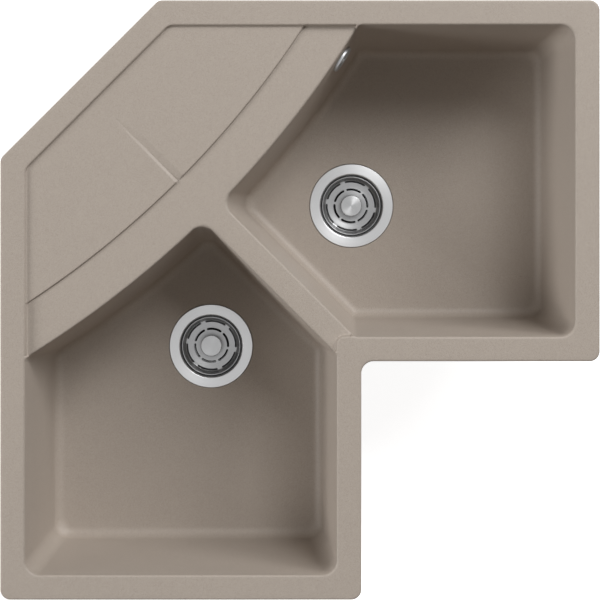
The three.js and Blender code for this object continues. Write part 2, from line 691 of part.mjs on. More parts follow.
// A screw about Z: its shank from a foot up to the head's seat, and the head with its slot.
function slottedScrew(shank, foot, seat, radius, height) {
  const top = seat + height;
  const chamfer = shank / 3;
  const shape = turned([
    [0, foot], [shank - chamfer, foot], [shank, foot + chamfer], [shank, seat], [radius, seat],
    [radius, top - chamfer], [radius - chamfer, top], [0, top],
  ], SMALL);
  return carved(shape, [new THREE.BoxGeometry(2 * radius + PAST, DRIVE_WIDTH, 2 * DRIVE_DEPTH)
    .translate(0, 0, top)]);
}

const wasteScrew = () => (
  slottedScrew(SCREW_RADIUS, SCREW_FOOT, DISH_Z + GAP, SCREW_HEAD_RADIUS, SCREW_HEAD));

// ---- The basket and what hangs under it ----

function basket() {
  const rim = BASKET_Z + BASKET_DEPTH;
  const centre = BASKET_Z + BASKET_BEND;
  const line = [
    [STUD_RADIUS + GAP, BASKET_Z],
    ...bend(BASKET_FLOOR_RADIUS, centre, BASKET_BEND, -90, BASKET_SLOPE - 90, 2),
    [BASKET_RADIUS - BASKET_LIP, rim - BASKET_SHEET / 2], [BASKET_RADIUS, rim],
  ];
  const slots = [INNER_SLOTS_RADIUS, OUTER_SLOTS_RADIUS].flatMap((radius) => arcSlots({
    count: BASKET_SLOTS, radius, width: SLOT_WIDTH, sweep: SLOT_SWEEP, turn: SLOT_TURN,
    low: BASKET_Z - BASKET_SHEET - PAST, high: rim + PAST,
  }));
  return carved(turned(pressed(line, BASKET_SHEET), FINE), slots);
}

function basketKnob() {
  const seat = BASKET_Z + GAP;
  const top = seat + KNOB_HEIGHT;
  const band = top - KNOB_DOME - KNOB_BAND;
  const studFoot = BASKET_Z - BASKET_SHEET - STUD_LENGTH;
  const dome = [0, 0.5, 0.8, 1].map((share) => (
    [KNOB_RADIUS * share, top - KNOB_DOME * share * share]));
  return turned([
    ...dome, [KNOB_RADIUS, band], [(KNOB_RADIUS + KNOB_NECK_RADIUS) / 2, (band + seat) / 2],
    [KNOB_NECK_RADIUS, seat], [STUD_RADIUS, seat], [STUD_RADIUS, studFoot], [0, studFoot],
  ], PLAIN);
}

// The stem hangs over the waste's screw and carries the stopper between two flanges.
const STEM_TOP = BASKET_Z - BASKET_SHEET - GAP;
const STEM_FOOT = DISH_Z + 2 * GAP;
const STOPPER_Z = DISH_Z + GAP;

function basketStem() {
  const flangeZ = STOPPER_Z + STOPPER_HEIGHT + GAP;
  const bore = SCREW_HEAD_RADIUS + RUN;
  const lip = STEM_RADIUS + STEM_LIP;
  return turned([
    [STUD_RADIUS + GAP, STEM_TOP], [STEM_RADIUS, STEM_TOP], [STEM_RADIUS, flangeZ + SHEET],
    [STEM_FLANGE_RADIUS, flangeZ + SHEET], [STEM_FLANGE_RADIUS, flangeZ],
    [STEM_RADIUS, flangeZ], [STEM_RADIUS, STEM_FOOT + STEM_LIP], [lip, STEM_FOOT + STEM_LIP],
    [lip, STEM_FOOT], [bore, STEM_FOOT], [bore, flangeZ + SHEET],
    [STUD_RADIUS + GAP, flangeZ + 2 * SHEET], [STUD_RADIUS + GAP, STEM_TOP],
  ], PLAIN);
}

function stopperSeal() {
  const bore = STEM_RADIUS + GAP;
  const recess = STEM_RADIUS + STEM_LIP + GAP;
  const step = STEM_FOOT + STEM_LIP + GAP;
  const top = STOPPER_Z + STOPPER_HEIGHT;
  return turned([
    [recess, STOPPER_Z], [STOPPER_RADIUS, STOPPER_Z], [STOPPER_RADIUS, top - STOPPER_EDGE],
    [STOPPER_RADIUS - STOPPER_EDGE, top], [bore, top], [bore, step], [recess, step],
    [recess, STOPPER_Z],
  ], PLAIN);
}

// ---- The overflow ----

function overflowRosette() {
  const line = [
    [OVERFLOW_SCREW_RADIUS + GAP, ROSETTE_HEIGHT],
    [ROSETTE_RADIUS - 2 * ROSETTE_EDGE, ROSETTE_HEIGHT - GAP],
    [ROSETTE_RADIUS - ROSETTE_EDGE, ROSETTE_HEIGHT - ROSETTE_SHEET / 2],
    [ROSETTE_RADIUS, ROSETTE_HEIGHT / 2 + GAP], [ROSETTE_RADIUS, GAP],
  ];
  const slots = arcSlots({
    count: ROSETTE_SLOTS, radius: ROSETTE_SLOTS_RADIUS, width: ROSETTE_SLOT_WIDTH,
    sweep: ROSETTE_SLOT_SWEEP, turn: 0, low: 0, high: ROSETTE_HEIGHT + PAST,
  });
  return carved(turned(pressed(line, ROSETTE_SHEET), FINE), slots).applyMatrix4(OVERFLOW);
}

// The hose leaves the elbow straight down, turns once and runs level to the waste's spigot.
function hoseRoute() {
  const start = new THREE.Vector3(0, 0, CHAMBER_AXIS).applyMatrix4(OVERFLOW);
  const [x, y] = at(DRAIN_U, DRAIN_W, 0);
  const across = new THREE.Vector3(x - start.x, y - start.y, 0);
  const span = across.length();
  across.normalize();
  const top = start.z - ELBOW_RADIUS - SPIGOT_LENGTH + HOSE_GRIP;
  const foot = BODY_Z - HOSE_LEVEL;
  const end = span - SPIGOT_END + HOSE_GRIP;
  const drop = top - foot - HOSE_BEND;
  const arc = (HOSE_BEND * Math.PI) / 2;
  const length = drop + arc + end - HOSE_BEND;
  const point = (s) => {
    const angle = Math.min(Math.max((s - drop) / HOSE_BEND, 0), Math.PI / 2);
    const run = Math.max(s - drop - arc, 0);
    const out = HOSE_BEND * (1 - Math.cos(angle)) + run;
    const z = top - Math.min(s, drop) - HOSE_BEND * Math.sin(angle);
    const centre = new THREE.Vector3(start.x, start.y, z).addScaledVector(across, out);
    const along = across.clone().multiplyScalar(Math.sin(angle));
    along.z = -Math.cos(angle);
    return { centre, along };
  };
  return { start, across, top, length, point };
}
const HOSE = hoseRoute();

function overflowElbow() {
  const flange = ELBOW_FRONT - PLASTIC;
  const outside = turned([
    [0, ELBOW_FRONT], [ELBOW_FLANGE_RADIUS, ELBOW_FRONT], [ELBOW_FLANGE_RADIUS, flange],
    [ELBOW_RADIUS, flange], [ELBOW_RADIUS, ELBOW_BACK + PLASTIC],
    [ELBOW_RADIUS - PLASTIC, ELBOW_BACK], [0, ELBOW_BACK],
  ], PLAIN);
  const inside = rod(
    ELBOW_RADIUS - PLASTIC, ELBOW_BACK + PLASTIC, ELBOW_FRONT + PAST, PLAIN);
  const boss = rod(OVERFLOW_SCREW_RADIUS + PLASTIC, ELBOW_BACK, flange, SMALL);
  const bore = rod(OVERFLOW_SCREW_RADIUS + GAP, ELBOW_BACK + PLASTIC, ELBOW_FRONT, SMALL);
  const place = (geometry) => toSolid(geometry.applyMatrix4(OVERFLOW));
  const { x, y, z } = HOSE.start;
  const low = z - ELBOW_RADIUS - SPIGOT_LENGTH;
  const down = (radius, foot) => toSolid(rod(radius, foot, z, PLAIN).translate(x, y, 0));
  const body = place(outside).add(down(SPIGOT_RADIUS, low))
    .subtract(place(inside)).subtract(down(SPIGOT_BORE, low - PAST))
    .add(place(boss)).subtract(place(bore));
  return fromSolid(body);
}

function overflowScrew() {
  const foot = ELBOW_FRONT - PLASTIC - OVERFLOW_BITE;
  const seat = ROSETTE_HEIGHT + GAP;
  return slottedScrew(
    OVERFLOW_SCREW_RADIUS, foot, seat, OVERFLOW_HEAD_RADIUS, OVERFLOW_HEAD)
    .applyMatrix4(OVERFLOW);
}

function overflowGasket() {
  const front = -WALL - GAP;
  return collar(
    OVERFLOW_BORE + SEAL_MARGIN, ELBOW_FLANGE_RADIUS, front - OVERFLOW_GASKET, front, PLAIN)
    .applyMatrix4(OVERFLOW);
}

// A ribbed tube with its bore: rings outside from one end to the other, and back inside.
function overflowHose() {
  const ribbed = HOSE.length - 2 * HOSE_CUFF;
  const ribs = Math.floor(ribbed / HOSE_PITCH);
  const place = (k) => HOSE_CUFF + (ribbed * k) / ribs;
  const stations = [[0, HOSE_SKIN], [HOSE_CUFF, HOSE_SKIN]];
  for (let k = 0; k < ribs; k++) {
    stations.push([place(k + 0.5), HOSE_SKIN + HOSE_RIB], [place(k + 1), HOSE_SKIN]);
  }
  stations.push([HOSE.length, HOSE_SKIN], [HOSE.length, HOSE_BORE]);
  for (let k = ribs; k >= 0; k -= BORE_EVERY) stations.push([place(k), HOSE_BORE]);
  stations.push([0, HOSE_BORE]);
  const side = new THREE.Vector3(0, 0, 1).cross(HOSE.across);
  const positions = stations.flatMap(([s, radius]) => {
    const { centre, along } = HOSE.point(s);
    const up = along.clone().cross(side);
    return Array.from({ length: HOSE_SIDES }, (_, k) => {
      const angle = (2 * Math.PI * k) / HOSE_SIDES;
      return centre.clone().addScaledVector(side, radius * Math.cos(angle))
        .addScaledVector(up, radius * Math.sin(angle)).toArray();
    }).flat();
  });
  const index = stations.flatMap((_, r) => {
    const here = r * HOSE_SIDES;
    const next = ((r + 1) % stations.length) * HOSE_SIDES;
    return Array.from({ length: HOSE_SIDES }, (__, i) => {
      const j = (i + 1) % HOSE_SIDES;
      return [here + i, here + j, next + j, here + i, next + j, next + i];
    }).flat();
  });
  const geometry = new THREE.BufferGeometry();
  geometry.setAttribute('position', new THREE.Float32BufferAttribute(positions, 3));
  geometry.setIndex(index);
  return geometry;
}

// A band clamp with its screw housing, at a place along the hose.
function hoseClamp(s) {
  const inner = (HOSE_SKIN + GAP) / Math.cos(Math.PI / PLAIN);
  const { centre, along } = HOSE.point(s);
  const side = new THREE.Vector3(0, 0, 1).cross(HOSE.across);
  const frame = new THREE.Matrix4().makeBasis(side, along.clone().cross(side), along)
    .setPosition(centre);
  const band = collar(inner, inner + CLAMP_BAND, -CLAMP_WIDTH / 2, CLAMP_WIDTH / 2, PLAIN);
  const housing = new THREE.BoxGeometry(CLAMP_HOUSING, CLAMP_HOUSING_HEIGHT, CLAMP_WIDTH)
    .translate(0, -(inner + CLAMP_HOUSING_HEIGHT / 2 + CLAMP_BAND / 2), 0);
  return joined([band, housing]).applyMatrix4(frame);
}

// ---- The clips, each with +X outwards and its screw on Z ----

const SCREW_TOP = CLIP_ENGAGED - BOSS_DEPTH;
const HEAD_Z = SCREW_TOP - CLIP_SCREW_LENGTH;

function clipInsert() {
  const inner = CLIP_SCREW_RADIUS + GAP;
  return collar(inner, INSERT_RADIUS, -BOSS_DEPTH, INSERT_LENGTH - BOSS_DEPTH - GAP, SMALL);
}

// The head is at the foot, so the screw is made the other way up.
const clipScrew = () => (
  slottedScrew(CLIP_SCREW_RADIUS, -SCREW_TOP, -HEAD_Z, CLIP_HEAD_RADIUS, CLIP_HEAD)
    .rotateX(Math.PI));

// A Z-shaped bracket that rests on the screw's head, parked along the edge.
function clipClaw() {
  const foot = HEAD_Z + GAP;
  const tip = foot + CLAW_RISE;
  const t = CLAW_SHEET;
  const section = new THREE.Shape([
    [-CLAW_TAIL, foot], [CLAW_WEB + t, foot], [CLAW_WEB + t, tip - t], [CLAW_REACH, tip - t],
    [CLAW_REACH, tip + t / 2], [CLAW_REACH - t / 2, tip], [CLAW_WEB, tip],
    [CLAW_WEB, foot + t], [-CLAW_TAIL, foot + t],
  ].map(([x, z]) => new THREE.Vector2(x, z)));
  const bent = new THREE.ExtrudeGeometry(section, { depth: CLAW_WIDTH, bevelEnabled: false })
    .rotateX(Math.PI / 2).translate(0, CLAW_WIDTH / 2, 0);
  const hole = rod(CLIP_SCREW_RADIUS + RUN, foot - PAST, foot + t + PAST, SMALL);
  return carved(bent, [hole]).rotateZ(-Math.PI / 2);
}

// ---- The assembly ----

const finish = (color, roughness, metalness) => (
  () => new THREE.MeshStandardMaterial({ color, roughness, metalness }));
const granite = finish(0xa89f96, 0.62, 0);
const steel = finish(0xc4c6c8, 0.3, 1);
const chrome = finish(0xdadcde, 0.1, 1);
const rubber = finish(0x1f1f1f, 0.8, 0);
const plastic = finish(0xe6e6e2, 0.45, 0);
const hosePlastic = finish(0xd4d4d0, 0.5, 0);
const zinc = finish(0xb4b6b8, 0.4, 1);
const brass = finish(0xb08d4a, 0.4, 1);

const sink = new THREE.Group();

function piece(name, geometry, material) {
  const mesh = new THREE.Mesh(closed(geometry), material());
  mesh.geometry.computeVertexNormals();
  mesh.name = name;
  sink.add(mesh);
  return mesh;
}

piece('sink_body', sinkBody(), granite);

// The right bowl lies along u, and the left one is its mirror image.
const DRAINS = [['right', DRAIN_U, DRAIN_W], ['left', DRAIN_W, DRAIN_U]];
for (const [hand, u, w] of DRAINS) {
  const bearing = hand === 'right' ? Math.atan2(-HOSE.across.y, -HOSE.across.x) : null;
  const inner = THROAT_RADIUS + SEAL_MARGIN;
  const [x, y] = at(u, w, 0);
  const fit = (name, geometry, material) => {
    piece(`${hand}_${name}`, geometry, material).position.set(x, y, 0);
  };
  fit('waste_flange', wasteFlange(), steel);
  fit('flange_seal', collar(inner, FLANGE_RADIUS - 3 * SHEET, SEAL_Z - SEAL, SEAL_Z, PLAIN),
    rubber);
  fit('waste_gasket', collar(
    inner, WASTE_FLANGE_RADIUS, GASKET_Z - GASKET, GASKET_Z, PLAIN), rubber);
  fit('waste_body', wasteBody(bearing), plastic);
  fit('waste_screw', wasteScrew(), steel);
  fit('outlet_nut', outletNut(), plastic);
  fit('outlet_washer', outletWasher(), rubber);
  fit('basket', basket(), steel);
  fit('basket_knob', basketKnob(), steel);
  fit('basket_stem', basketStem(), plastic);
  fit('stopper_seal', stopperSeal(), rubber);
}

piece('overflow_rosette', overflowRosette(), chrome);
piece('overflow_screw', overflowScrew(), chrome);
piece('overflow_gasket', overflowGasket(), rubber);
piece('overflow_elbow', overflowElbow(), plastic);
piece('overflow_hose', overflowHose(), hosePlastic);
piece('hose_clamp_upper', hoseClamp(HOSE_GRIP / 2), zinc);
piece('hose_clamp_lower', hoseClamp(HOSE.length - HOSE_GRIP / 2), zinc);

CLIPS.forEach((clip, k) => {
  piece(`clip_${k + 1}_insert`, atClip(clipInsert(), clip), brass);
  piece(`clip_${k + 1}_screw`, atClip(clipScrew(), clip), zinc);
  piece(`clip_${k + 1}_claw`, atClip(clipClaw(), clip), zinc);
});

export default sink;
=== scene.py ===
# %% [markdown]
# # A corner kitchen sink in speckled composite
#
# This sink fits the inside corner of an L-shaped worktop. It is one casting with a drainer, two
# bowls and a divider, and everything else is bolted or screwed to it: two basket strainers, an
# overflow with its hose, and six clips. The casting is a large soft shape with small rounded
# edges, so its light and shade tell the whole story. We build it as a surface worked out with
# numpy, and we turn, sweep or press the small pieces in the same way.
#
# The solid model gives every place and size. It is loaded first, and nothing in it is moved.

# %% The fixed frame
import json
import math

import bmesh
import bpy
import numpy as np
from mathutils import Matrix, Vector
from mathutils.geometry import delaunay_2d_cdt

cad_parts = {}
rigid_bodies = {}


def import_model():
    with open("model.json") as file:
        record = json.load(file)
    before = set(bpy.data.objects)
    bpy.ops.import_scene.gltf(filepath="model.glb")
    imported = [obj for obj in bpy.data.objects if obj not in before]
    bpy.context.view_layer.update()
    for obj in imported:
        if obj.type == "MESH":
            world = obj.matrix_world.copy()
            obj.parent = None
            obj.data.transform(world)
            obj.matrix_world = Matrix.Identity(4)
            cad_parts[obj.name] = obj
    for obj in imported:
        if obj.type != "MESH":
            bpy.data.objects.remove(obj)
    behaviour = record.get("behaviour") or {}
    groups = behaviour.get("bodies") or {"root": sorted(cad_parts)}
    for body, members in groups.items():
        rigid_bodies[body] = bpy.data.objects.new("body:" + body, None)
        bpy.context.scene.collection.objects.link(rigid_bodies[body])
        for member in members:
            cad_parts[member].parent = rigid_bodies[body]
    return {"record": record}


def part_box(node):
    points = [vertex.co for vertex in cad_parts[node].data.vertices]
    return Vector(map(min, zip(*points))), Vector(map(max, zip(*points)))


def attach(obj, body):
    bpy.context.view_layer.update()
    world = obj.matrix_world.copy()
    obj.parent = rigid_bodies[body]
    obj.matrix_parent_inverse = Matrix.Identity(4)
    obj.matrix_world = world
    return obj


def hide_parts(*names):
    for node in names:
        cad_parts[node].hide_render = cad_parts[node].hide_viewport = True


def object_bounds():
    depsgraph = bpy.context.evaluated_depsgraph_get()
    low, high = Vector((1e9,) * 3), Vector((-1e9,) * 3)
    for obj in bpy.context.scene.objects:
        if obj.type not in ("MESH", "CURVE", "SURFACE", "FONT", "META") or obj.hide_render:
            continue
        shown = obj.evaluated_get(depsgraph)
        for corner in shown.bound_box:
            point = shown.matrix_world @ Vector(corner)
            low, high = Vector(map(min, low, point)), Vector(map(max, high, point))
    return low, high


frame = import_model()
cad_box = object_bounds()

MM = 0.001
record = frame["record"]
BODY_OF = {node: body for body, nodes in record["behaviour"]["bodies"].items() for node in nodes}
SLOT_OF = {part["node"]: part["material_slot"] for part in record["subparts"]}


def box_mm(node):
    """A node's lowest and highest corners, in millimetres."""
    return [np.array(corner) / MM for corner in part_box(node)]


# %% [markdown]
# ## The plan of the casting
#
# Seen from above, every edge of the casting is a straight line, an arc round one far centre, or
# a rounded corner between two of them. Plan distances u and w are measured from the corner of
# the room along its two walls, and the casting is its own mirror image when they change places.
# A side is held as a line or a circle, so that the same outline can be drawn in or out by any
# distance. That is what carries a profile round a bowl: each row of the surface is the outline
# at another inset and another height.

# %% Sizes of the casting, in millimetres
body_low, body_high = box_mm("sink_body")
SIDE = body_high[0] - body_low[0]
LEG = -body_low[0]
RIM_TOP = body_high[2]
UNDER_Z = body_low[2]
CHAMFER = 219.0
RIM_WIDTH = 34.0
SEAT_WIDTH = 14.0
OUTER_ROUND = 14.0
NOTCH_ROUND = 17.0
DRAINER_REACH = 350.0
DRAINER_RADIUS = 1328.0
TERRACE_WIDTH = 63.0
DIVIDER_WIDTH = 34.0
WELL_ROUND = 18.0
WELL_NOTCH_ROUND = 11.0
RIM_EDGE = 3.0
DRAINER_Z = RIM_TOP - 4.5
TERRACE_Z = RIM_TOP - 8.0
DECK_Z = TERRACE_Z - 10.0
FLOOR_Z = RIM_TOP - 200.0
DRAIN_Z = FLOOR_Z - 5.0
LEAN = math.radians(4.5)
SLANT = math.tan(LEAN)
WALL = 9.0
FLOOR_FILLET = 16.0
LIP_ROUND = 3.0
DRAIN_U, DRAIN_W = 494.5, 283.2
DIAGONAL = math.sqrt(0.5)
ARC_CENTRE = (DRAINER_REACH - DRAINER_RADIUS) * DIAGONAL
BOWL_RADIUS = DRAINER_RADIUS + TERRACE_WIDTH
print(f"the casting is {SIDE:.0f} mm along each wall and {LEG:.0f} mm deep in each leg")

# %% Sides, and the corners where they meet


def line(nu, nw, c):
    """A straight side: the inside is where nu * u + nw * w is more than c."""
    return {"n": (nu, nw), "c": c}


def arc(radius, sense):
    """A curved side: the inside is beyond its circle (sense 1) or within it (sense -1)."""
    return {"radius": radius, "sense": sense}


def meet(a, b, inset):
    """The crossing of two sides, each moved inwards by inset.

    Two lines: the solution of two equations. A line and a circle: from the foot of the
    centre's perpendicular, along the line by half the chord, to the end far from the room.
    """
    if "radius" in a:
        return meet(b, a, inset)
    nu, nw = a["n"]
    c = a["c"] + inset
    if "radius" in b:
        offset = c - (nu + nw) * ARC_CENTRE
        half = math.sqrt((b["radius"] + b["sense"] * inset) ** 2 - offset ** 2)
        foot = np.array([ARC_CENTRE + nu * offset, ARC_CENTRE + nw * offset])
        ends = [foot + way * half * np.array([-nw, nu]) for way in (1, -1)]
        return max(ends, key=sum)
    return np.linalg.solve([a["n"], b["n"]], [c, b["c"] + inset])


def inward(side, point):
    """The bearing into the outline, square to a side at a point near it."""
    if "n" in side:
        return math.atan2(side["n"][1], side["n"][0])
    bearing = math.atan2(point[1] - ARC_CENTRE, point[0] - ARC_CENTRE)
    return bearing if side["sense"] > 0 else bearing + math.pi


def outline(sides, inset, rounds, corner_steps, side_steps):
    """A closed line of (u, w): the sides moved inwards by inset, with rounded corners.

    Each corner is an arc about the crossing of its two sides, both moved in by inset plus its
    radius. A radius below 0 is a corner that turns the other way. Between two corners the line
    runs straight, or round the arcs' common centre.
    """
    corners = []
    for i, side in enumerate(sides):
        following = sides[(i + 1) % len(sides)]
        centre = meet(side, following, inset + rounds[i])
        start = inward(side, centre)
        turn = inward(following, centre) - start
        sweep = math.atan2(math.sin(turn), math.cos(turn))
        angle = start + sweep * np.linspace(0, 1, corner_steps + 1)
        corners.append(centre - rounds[i] * np.stack([np.cos(angle), np.sin(angle)], 1))
    pieces = []
    for i, corner in enumerate(corners):
        j = (i + 1) % len(sides)
        share = np.linspace(0, 1, side_steps + 1)[1:-1, None]
        first, last = corner[-1], corners[j][0]
        stretch = first + (last - first) * share
        if "radius" in sides[j]:
            ends = [math.atan2(*(p - ARC_CENTRE)[::-1]) for p in (first, last)]
            angle = ends[0] + (ends[1] - ends[0]) * share
            radius = sides[j]["radius"] + sides[j]["sense"] * inset
            stretch = ARC_CENTRE + radius * np.hstack([np.cos(angle), np.sin(angle)])
        pieces += [corner, stretch]
    return np.concatenate(pieces)


OUTLINE = [
    line(0, 1, 0), line(-1, 0, -SIDE), line(0, -1, -LEG), line(-1, 0, -LEG),
    line(0, -1, -SIDE), line(1, 0, 0), line(DIAGONAL, DIAGONAL, CHAMFER * DIAGONAL),
]
BOWL = [
    line(0, 1, RIM_WIDTH), line(-1, 0, RIM_WIDTH - SIDE), line(0, -1, RIM_WIDTH - LEG),
    line(DIAGONAL, -DIAGONAL, DIVIDER_WIDTH / 2), arc(BOWL_RADIUS, 1),
]
BOWL_ROUNDS = np.array([21.0, 21.0, 14.0, 22.0, 14.0])
NOTCH = 2


def rim_rounds(inset):
    """Corner radii of the rim's outer edge, drawn in by inset; the notch turns outwards."""
    rounds = [max(OUTER_ROUND - inset, 1.0)] * len(OUTLINE)
    rounds[NOTCH] = -(NOTCH_ROUND + inset)
    return rounds


def well_rounds(offset):
    """Corner radii of the rim's inner edge, moved inwards by an offset from it."""
    rounds = [max(BOWL_ROUNDS[0] - offset, 1.0)] * 5 + [WELL_ROUND - offset] * 2
    rounds[NOTCH] = -(WELL_NOTCH_ROUND + offset)
    return rounds


print("outlines:", len(OUTLINE), "sides round the rim,", len(BOWL), "round each bowl")

# %% [markdown]
# ## The deck, a height for each point of the plan
#
# The rim, the drainer, its groove and the terrace are one moulded surface with small steps in
# it. Each step follows a line of the plan, so its height depends on one thing only: how far a
# point lies from that line. We work out those distances for all points at once, look the height
# up in a rounded step, and add the steps together.

# %% Distances, rounded steps and the deck's height


def signed_distance(points, loop):
    """How far each point lies inside a closed line, below 0 outside it.

    The size is the least distance to a segment. The sign comes from counting how often a ray
    from the point crosses the line.
    """
    start, step = loop, np.roll(loop, -1, 0) - loop
    away = points[:, None] - start
    share = np.clip((away * step).sum(-1) / (step * step).sum(-1), 0, 1)
    size = np.linalg.norm(away - share[..., None] * step, axis=-1).min(1)
    end_w = start[:, 1] + step[:, 1]
    straddles = (start[:, 1] > points[:, 1:]) != (end_w > points[:, 1:])
    rise = np.where(step[:, 1] == 0, 1, step[:, 1])
    crossing = start[:, 0] + step[:, 0] * (points[:, 1:] - start[:, 1]) / rise
    inside = (straddles & (points[:, :1] < crossing)).sum(1) % 2 == 1
    return np.where(inside, size, -size)


def corner_curve(before, corner, after, steps):
    """A corner bridged by a curve: two straight moves towards it and away, blended."""
    t = np.linspace(0, 1, steps + 1)[:, None]
    return (1 - t) ** 2 * before + 2 * t * (1 - t) * corner + t ** 2 * after


def rounded(points, radii, steps=5):
    """An open line with its corners rounded.

    At each corner the line is cut back on both sides by the radius over the tangent of half
    the corner's angle, at most almost half a side, and a curve bridges the cut.
    """
    points = np.asarray(points, float)
    radii = np.broadcast_to(radii, len(points))
    parts = [points[:1]]
    for k in range(1, len(points) - 1):
        to_last, to_next = points[k - 1] - points[k], points[k + 1] - points[k]
        lengths = np.linalg.norm(to_last), np.linalg.norm(to_next)
        cosine = np.clip(to_last @ to_next / (lengths[0] * lengths[1]), -1, 1)
        half = math.acos(cosine) / 2
        cut = min(radii[k] / max(math.tan(half), 1e-6), 0.48 * min(lengths))
        if cut < 1e-3:
            parts.append(points[k : k + 1])
            continue
        before = points[k] + to_last * cut / lengths[0]
        after = points[k] + to_next * cut / lengths[1]
        parts.append(corner_curve(before, points[k], after, steps))
    return np.concatenate([*parts, points[-1:]])


def step_down(height, slope, top_round, foot_round):
    """A rounded step as (distance, share of its height), from 1 on top to 0 at its foot."""
    run = height * math.tan(math.radians(slope))
    far = 4 * height
    shape = rounded([[-far, height], [0, height], [run, 0], [run + far, 0]],
                    [0, top_round, foot_round, 0], 8)
    return shape[:, 0], shape[:, 1] / height


RIM_STEP = step_down(RIM_TOP - TERRACE_Z, slope=14, top_round=2.6, foot_round=2.2)
PLATE_STEP = step_down(DRAINER_Z - TERRACE_Z, slope=22, top_round=1.2, foot_round=1.2)
GROOVE_FROM_RIM = 28.0
GROOVE_START = (CHAMFER * DIAGONAL + RIM_WIDTH + GROOVE_FROM_RIM) * DIAGONAL
GROOVE_END = DRAINER_REACH * DIAGONAL
GROOVE_DEPTH = DRAINER_Z - TERRACE_Z
GROOVE_POWER = 1.15
GROOVE_LEFT = ([0, 0.35, 1], [-3.6, -6.2, -7.0])
GROOVE_RIGHT = ([0, 0.5, 1], [-2.8, 7.0, 7.0])
GROOVE_SECTION = rounded([[-1.6, 0], [-1, 0], [-0.45, 1], [1, 0], [1.6, 0]],
                         [0, 0.12, 0.16, 0.2, 0], 4).T
WELL_LOOP = outline(OUTLINE, RIM_WIDTH, well_rounds(0), 24, 1)


def groove_place(points):
    """How far along the groove each point lies, from 0 to 1, and its distance across it."""
    along = (points.sum(1) / 2 - GROOVE_START) / (GROOVE_END - GROOVE_START)
    return along, (points[:, 0] - points[:, 1]) * DIAGONAL


def groove_middle(along):
    """The groove's middle and half width: it opens from a tip to an even width."""
    left, right = [np.interp(along, *side) for side in (GROOVE_LEFT, GROOVE_RIGHT)]
    return (left + right) / 2, (right - left) / 2


def deck_height(points):
    """Height of the deck over (u, w).

    The well's floor is the terrace, raised by the drainer plate inside its arc. The groove is
    cut from the plate as a valley with a steep side and a ramp: its depth, which grows with a
    power of the way along, times a share for the place across. The rim then stands on that
    floor, and falls to it over the rounded step.
    """
    into_plate = DRAINER_RADIUS - np.linalg.norm(points - ARC_CENTRE, axis=1)
    raised = np.interp(-into_plate, *PLATE_STEP)
    along, across = groove_place(points)
    middle, half = groove_middle(along)
    depth = GROOVE_DEPTH * np.clip(along, 0, 1) ** GROOVE_POWER
    valley = depth * np.interp((across - middle) / half, *GROOVE_SECTION)
    floor = TERRACE_Z + (GROOVE_DEPTH - valley) * raised
    rim = np.interp(signed_distance(points, WELL_LOOP), *RIM_STEP)
    return floor + (RIM_TOP - floor) * rim


print(f"the drainer stands {GROOVE_DEPTH:.1f} mm over the terrace")

# %% [markdown]
# ## From arrays to closed pieces
#
# Every new piece goes through one small maker. It takes corners and faces as arrays, merges the
# seams and poles, turns the faces outwards and counts the edges that don't have two faces, which
# should be none. Pieces that are cut or joined use Blender's exact Boolean, because a pressed
# sheet with slots is quicker to cut than to draw.

# %% Making, cutting and placing meshes
MERGE = 1e-5
SHARP = math.radians(32)
pieces = {}


def grid_faces(rows, columns):
    """Four-sided faces between each row and the next, closed round the columns."""
    r, c = np.meshgrid(np.arange(rows - 1), np.arange(columns), indexing="ij")
    here, after = r * columns + c, r * columns + (c + 1) % columns
    return np.stack([here, after, after + columns, here + columns], -1).reshape(-1, 4)


def settled(mesh):
    """The mesh with doubles merged, faces turned outwards and sharp edges marked."""
    shape = bmesh.new()
    shape.from_mesh(mesh)
    bmesh.ops.remove_doubles(shape, verts=shape.verts, dist=MERGE)
    bmesh.ops.dissolve_degenerate(shape, edges=shape.edges, dist=MERGE)
    bmesh.ops.recalc_face_normals(shape, faces=shape.faces)
    open_edges = sum(not edge.is_manifold for edge in shape.edges)
    shape.to_mesh(mesh)
    shape.free()
    mesh.shade_smooth()
    mesh.set_sharp_from_angle(angle=SHARP)
    if open_edges:
        print(mesh.name, "has", open_edges, "open edges")
    return mesh


def make_mesh(name, vertices, faces, uv=None):
    """A mesh from corners in millimetres (n, 3), faces, and a (u, v) for each face's corner."""
    mesh = bpy.data.meshes.new(name)
    faces = [face.tolist() if hasattr(face, "tolist") else face for face in faces]
    mesh.from_pydata((np.asarray(vertices, float) * MM).tolist(), [], faces)
    if uv is not None:
        mesh.uv_layers.new(name="turning").data.foreach_set("uv", uv.astype(np.float32).ravel())
    return settled(mesh)


def linked(name, data):
    """A new object in the scene."""
    made = bpy.data.objects.new(name, data)
    bpy.context.scene.collection.objects.link(made)
    return made


def combined(mesh, tools, operation):
    """The mesh joined ("UNION") with others, cut ("DIFFERENCE") or trimmed ("INTERSECT")."""
    stand, *others = [linked("cutting", m) for m in (mesh, *tools)]
    for other in others:
        modifier = stand.modifiers.new("combine", "BOOLEAN")
        modifier.operation, modifier.solver, modifier.object = operation, "EXACT", other
    graph = bpy.context.evaluated_depsgraph_get()
    made = bpy.data.meshes.new_from_object(stand.evaluated_get(graph))
    for thing in (stand, *others):
        bpy.data.objects.remove(thing)
    made.name = mesh.name
    made.materials.clear()
    return settled(made)


def together(meshes):
    """Closed meshes that don't touch, as one mesh, so that one cut does the work of many."""
    shape = bmesh.new()
    for mesh in meshes:
        shape.from_mesh(mesh)
    made = bpy.data.meshes.new("tools")
    shape.to_mesh(made)
    shape.free()
    return made


def shift(x, y, z=0.0):
    """A place without a turn."""
    return Matrix.Translation((x, y, z))


def about(degrees, axis="Z"):
    """A turn about an axis, without a shift."""
    return Matrix.Rotation(math.radians(degrees), 4, axis)


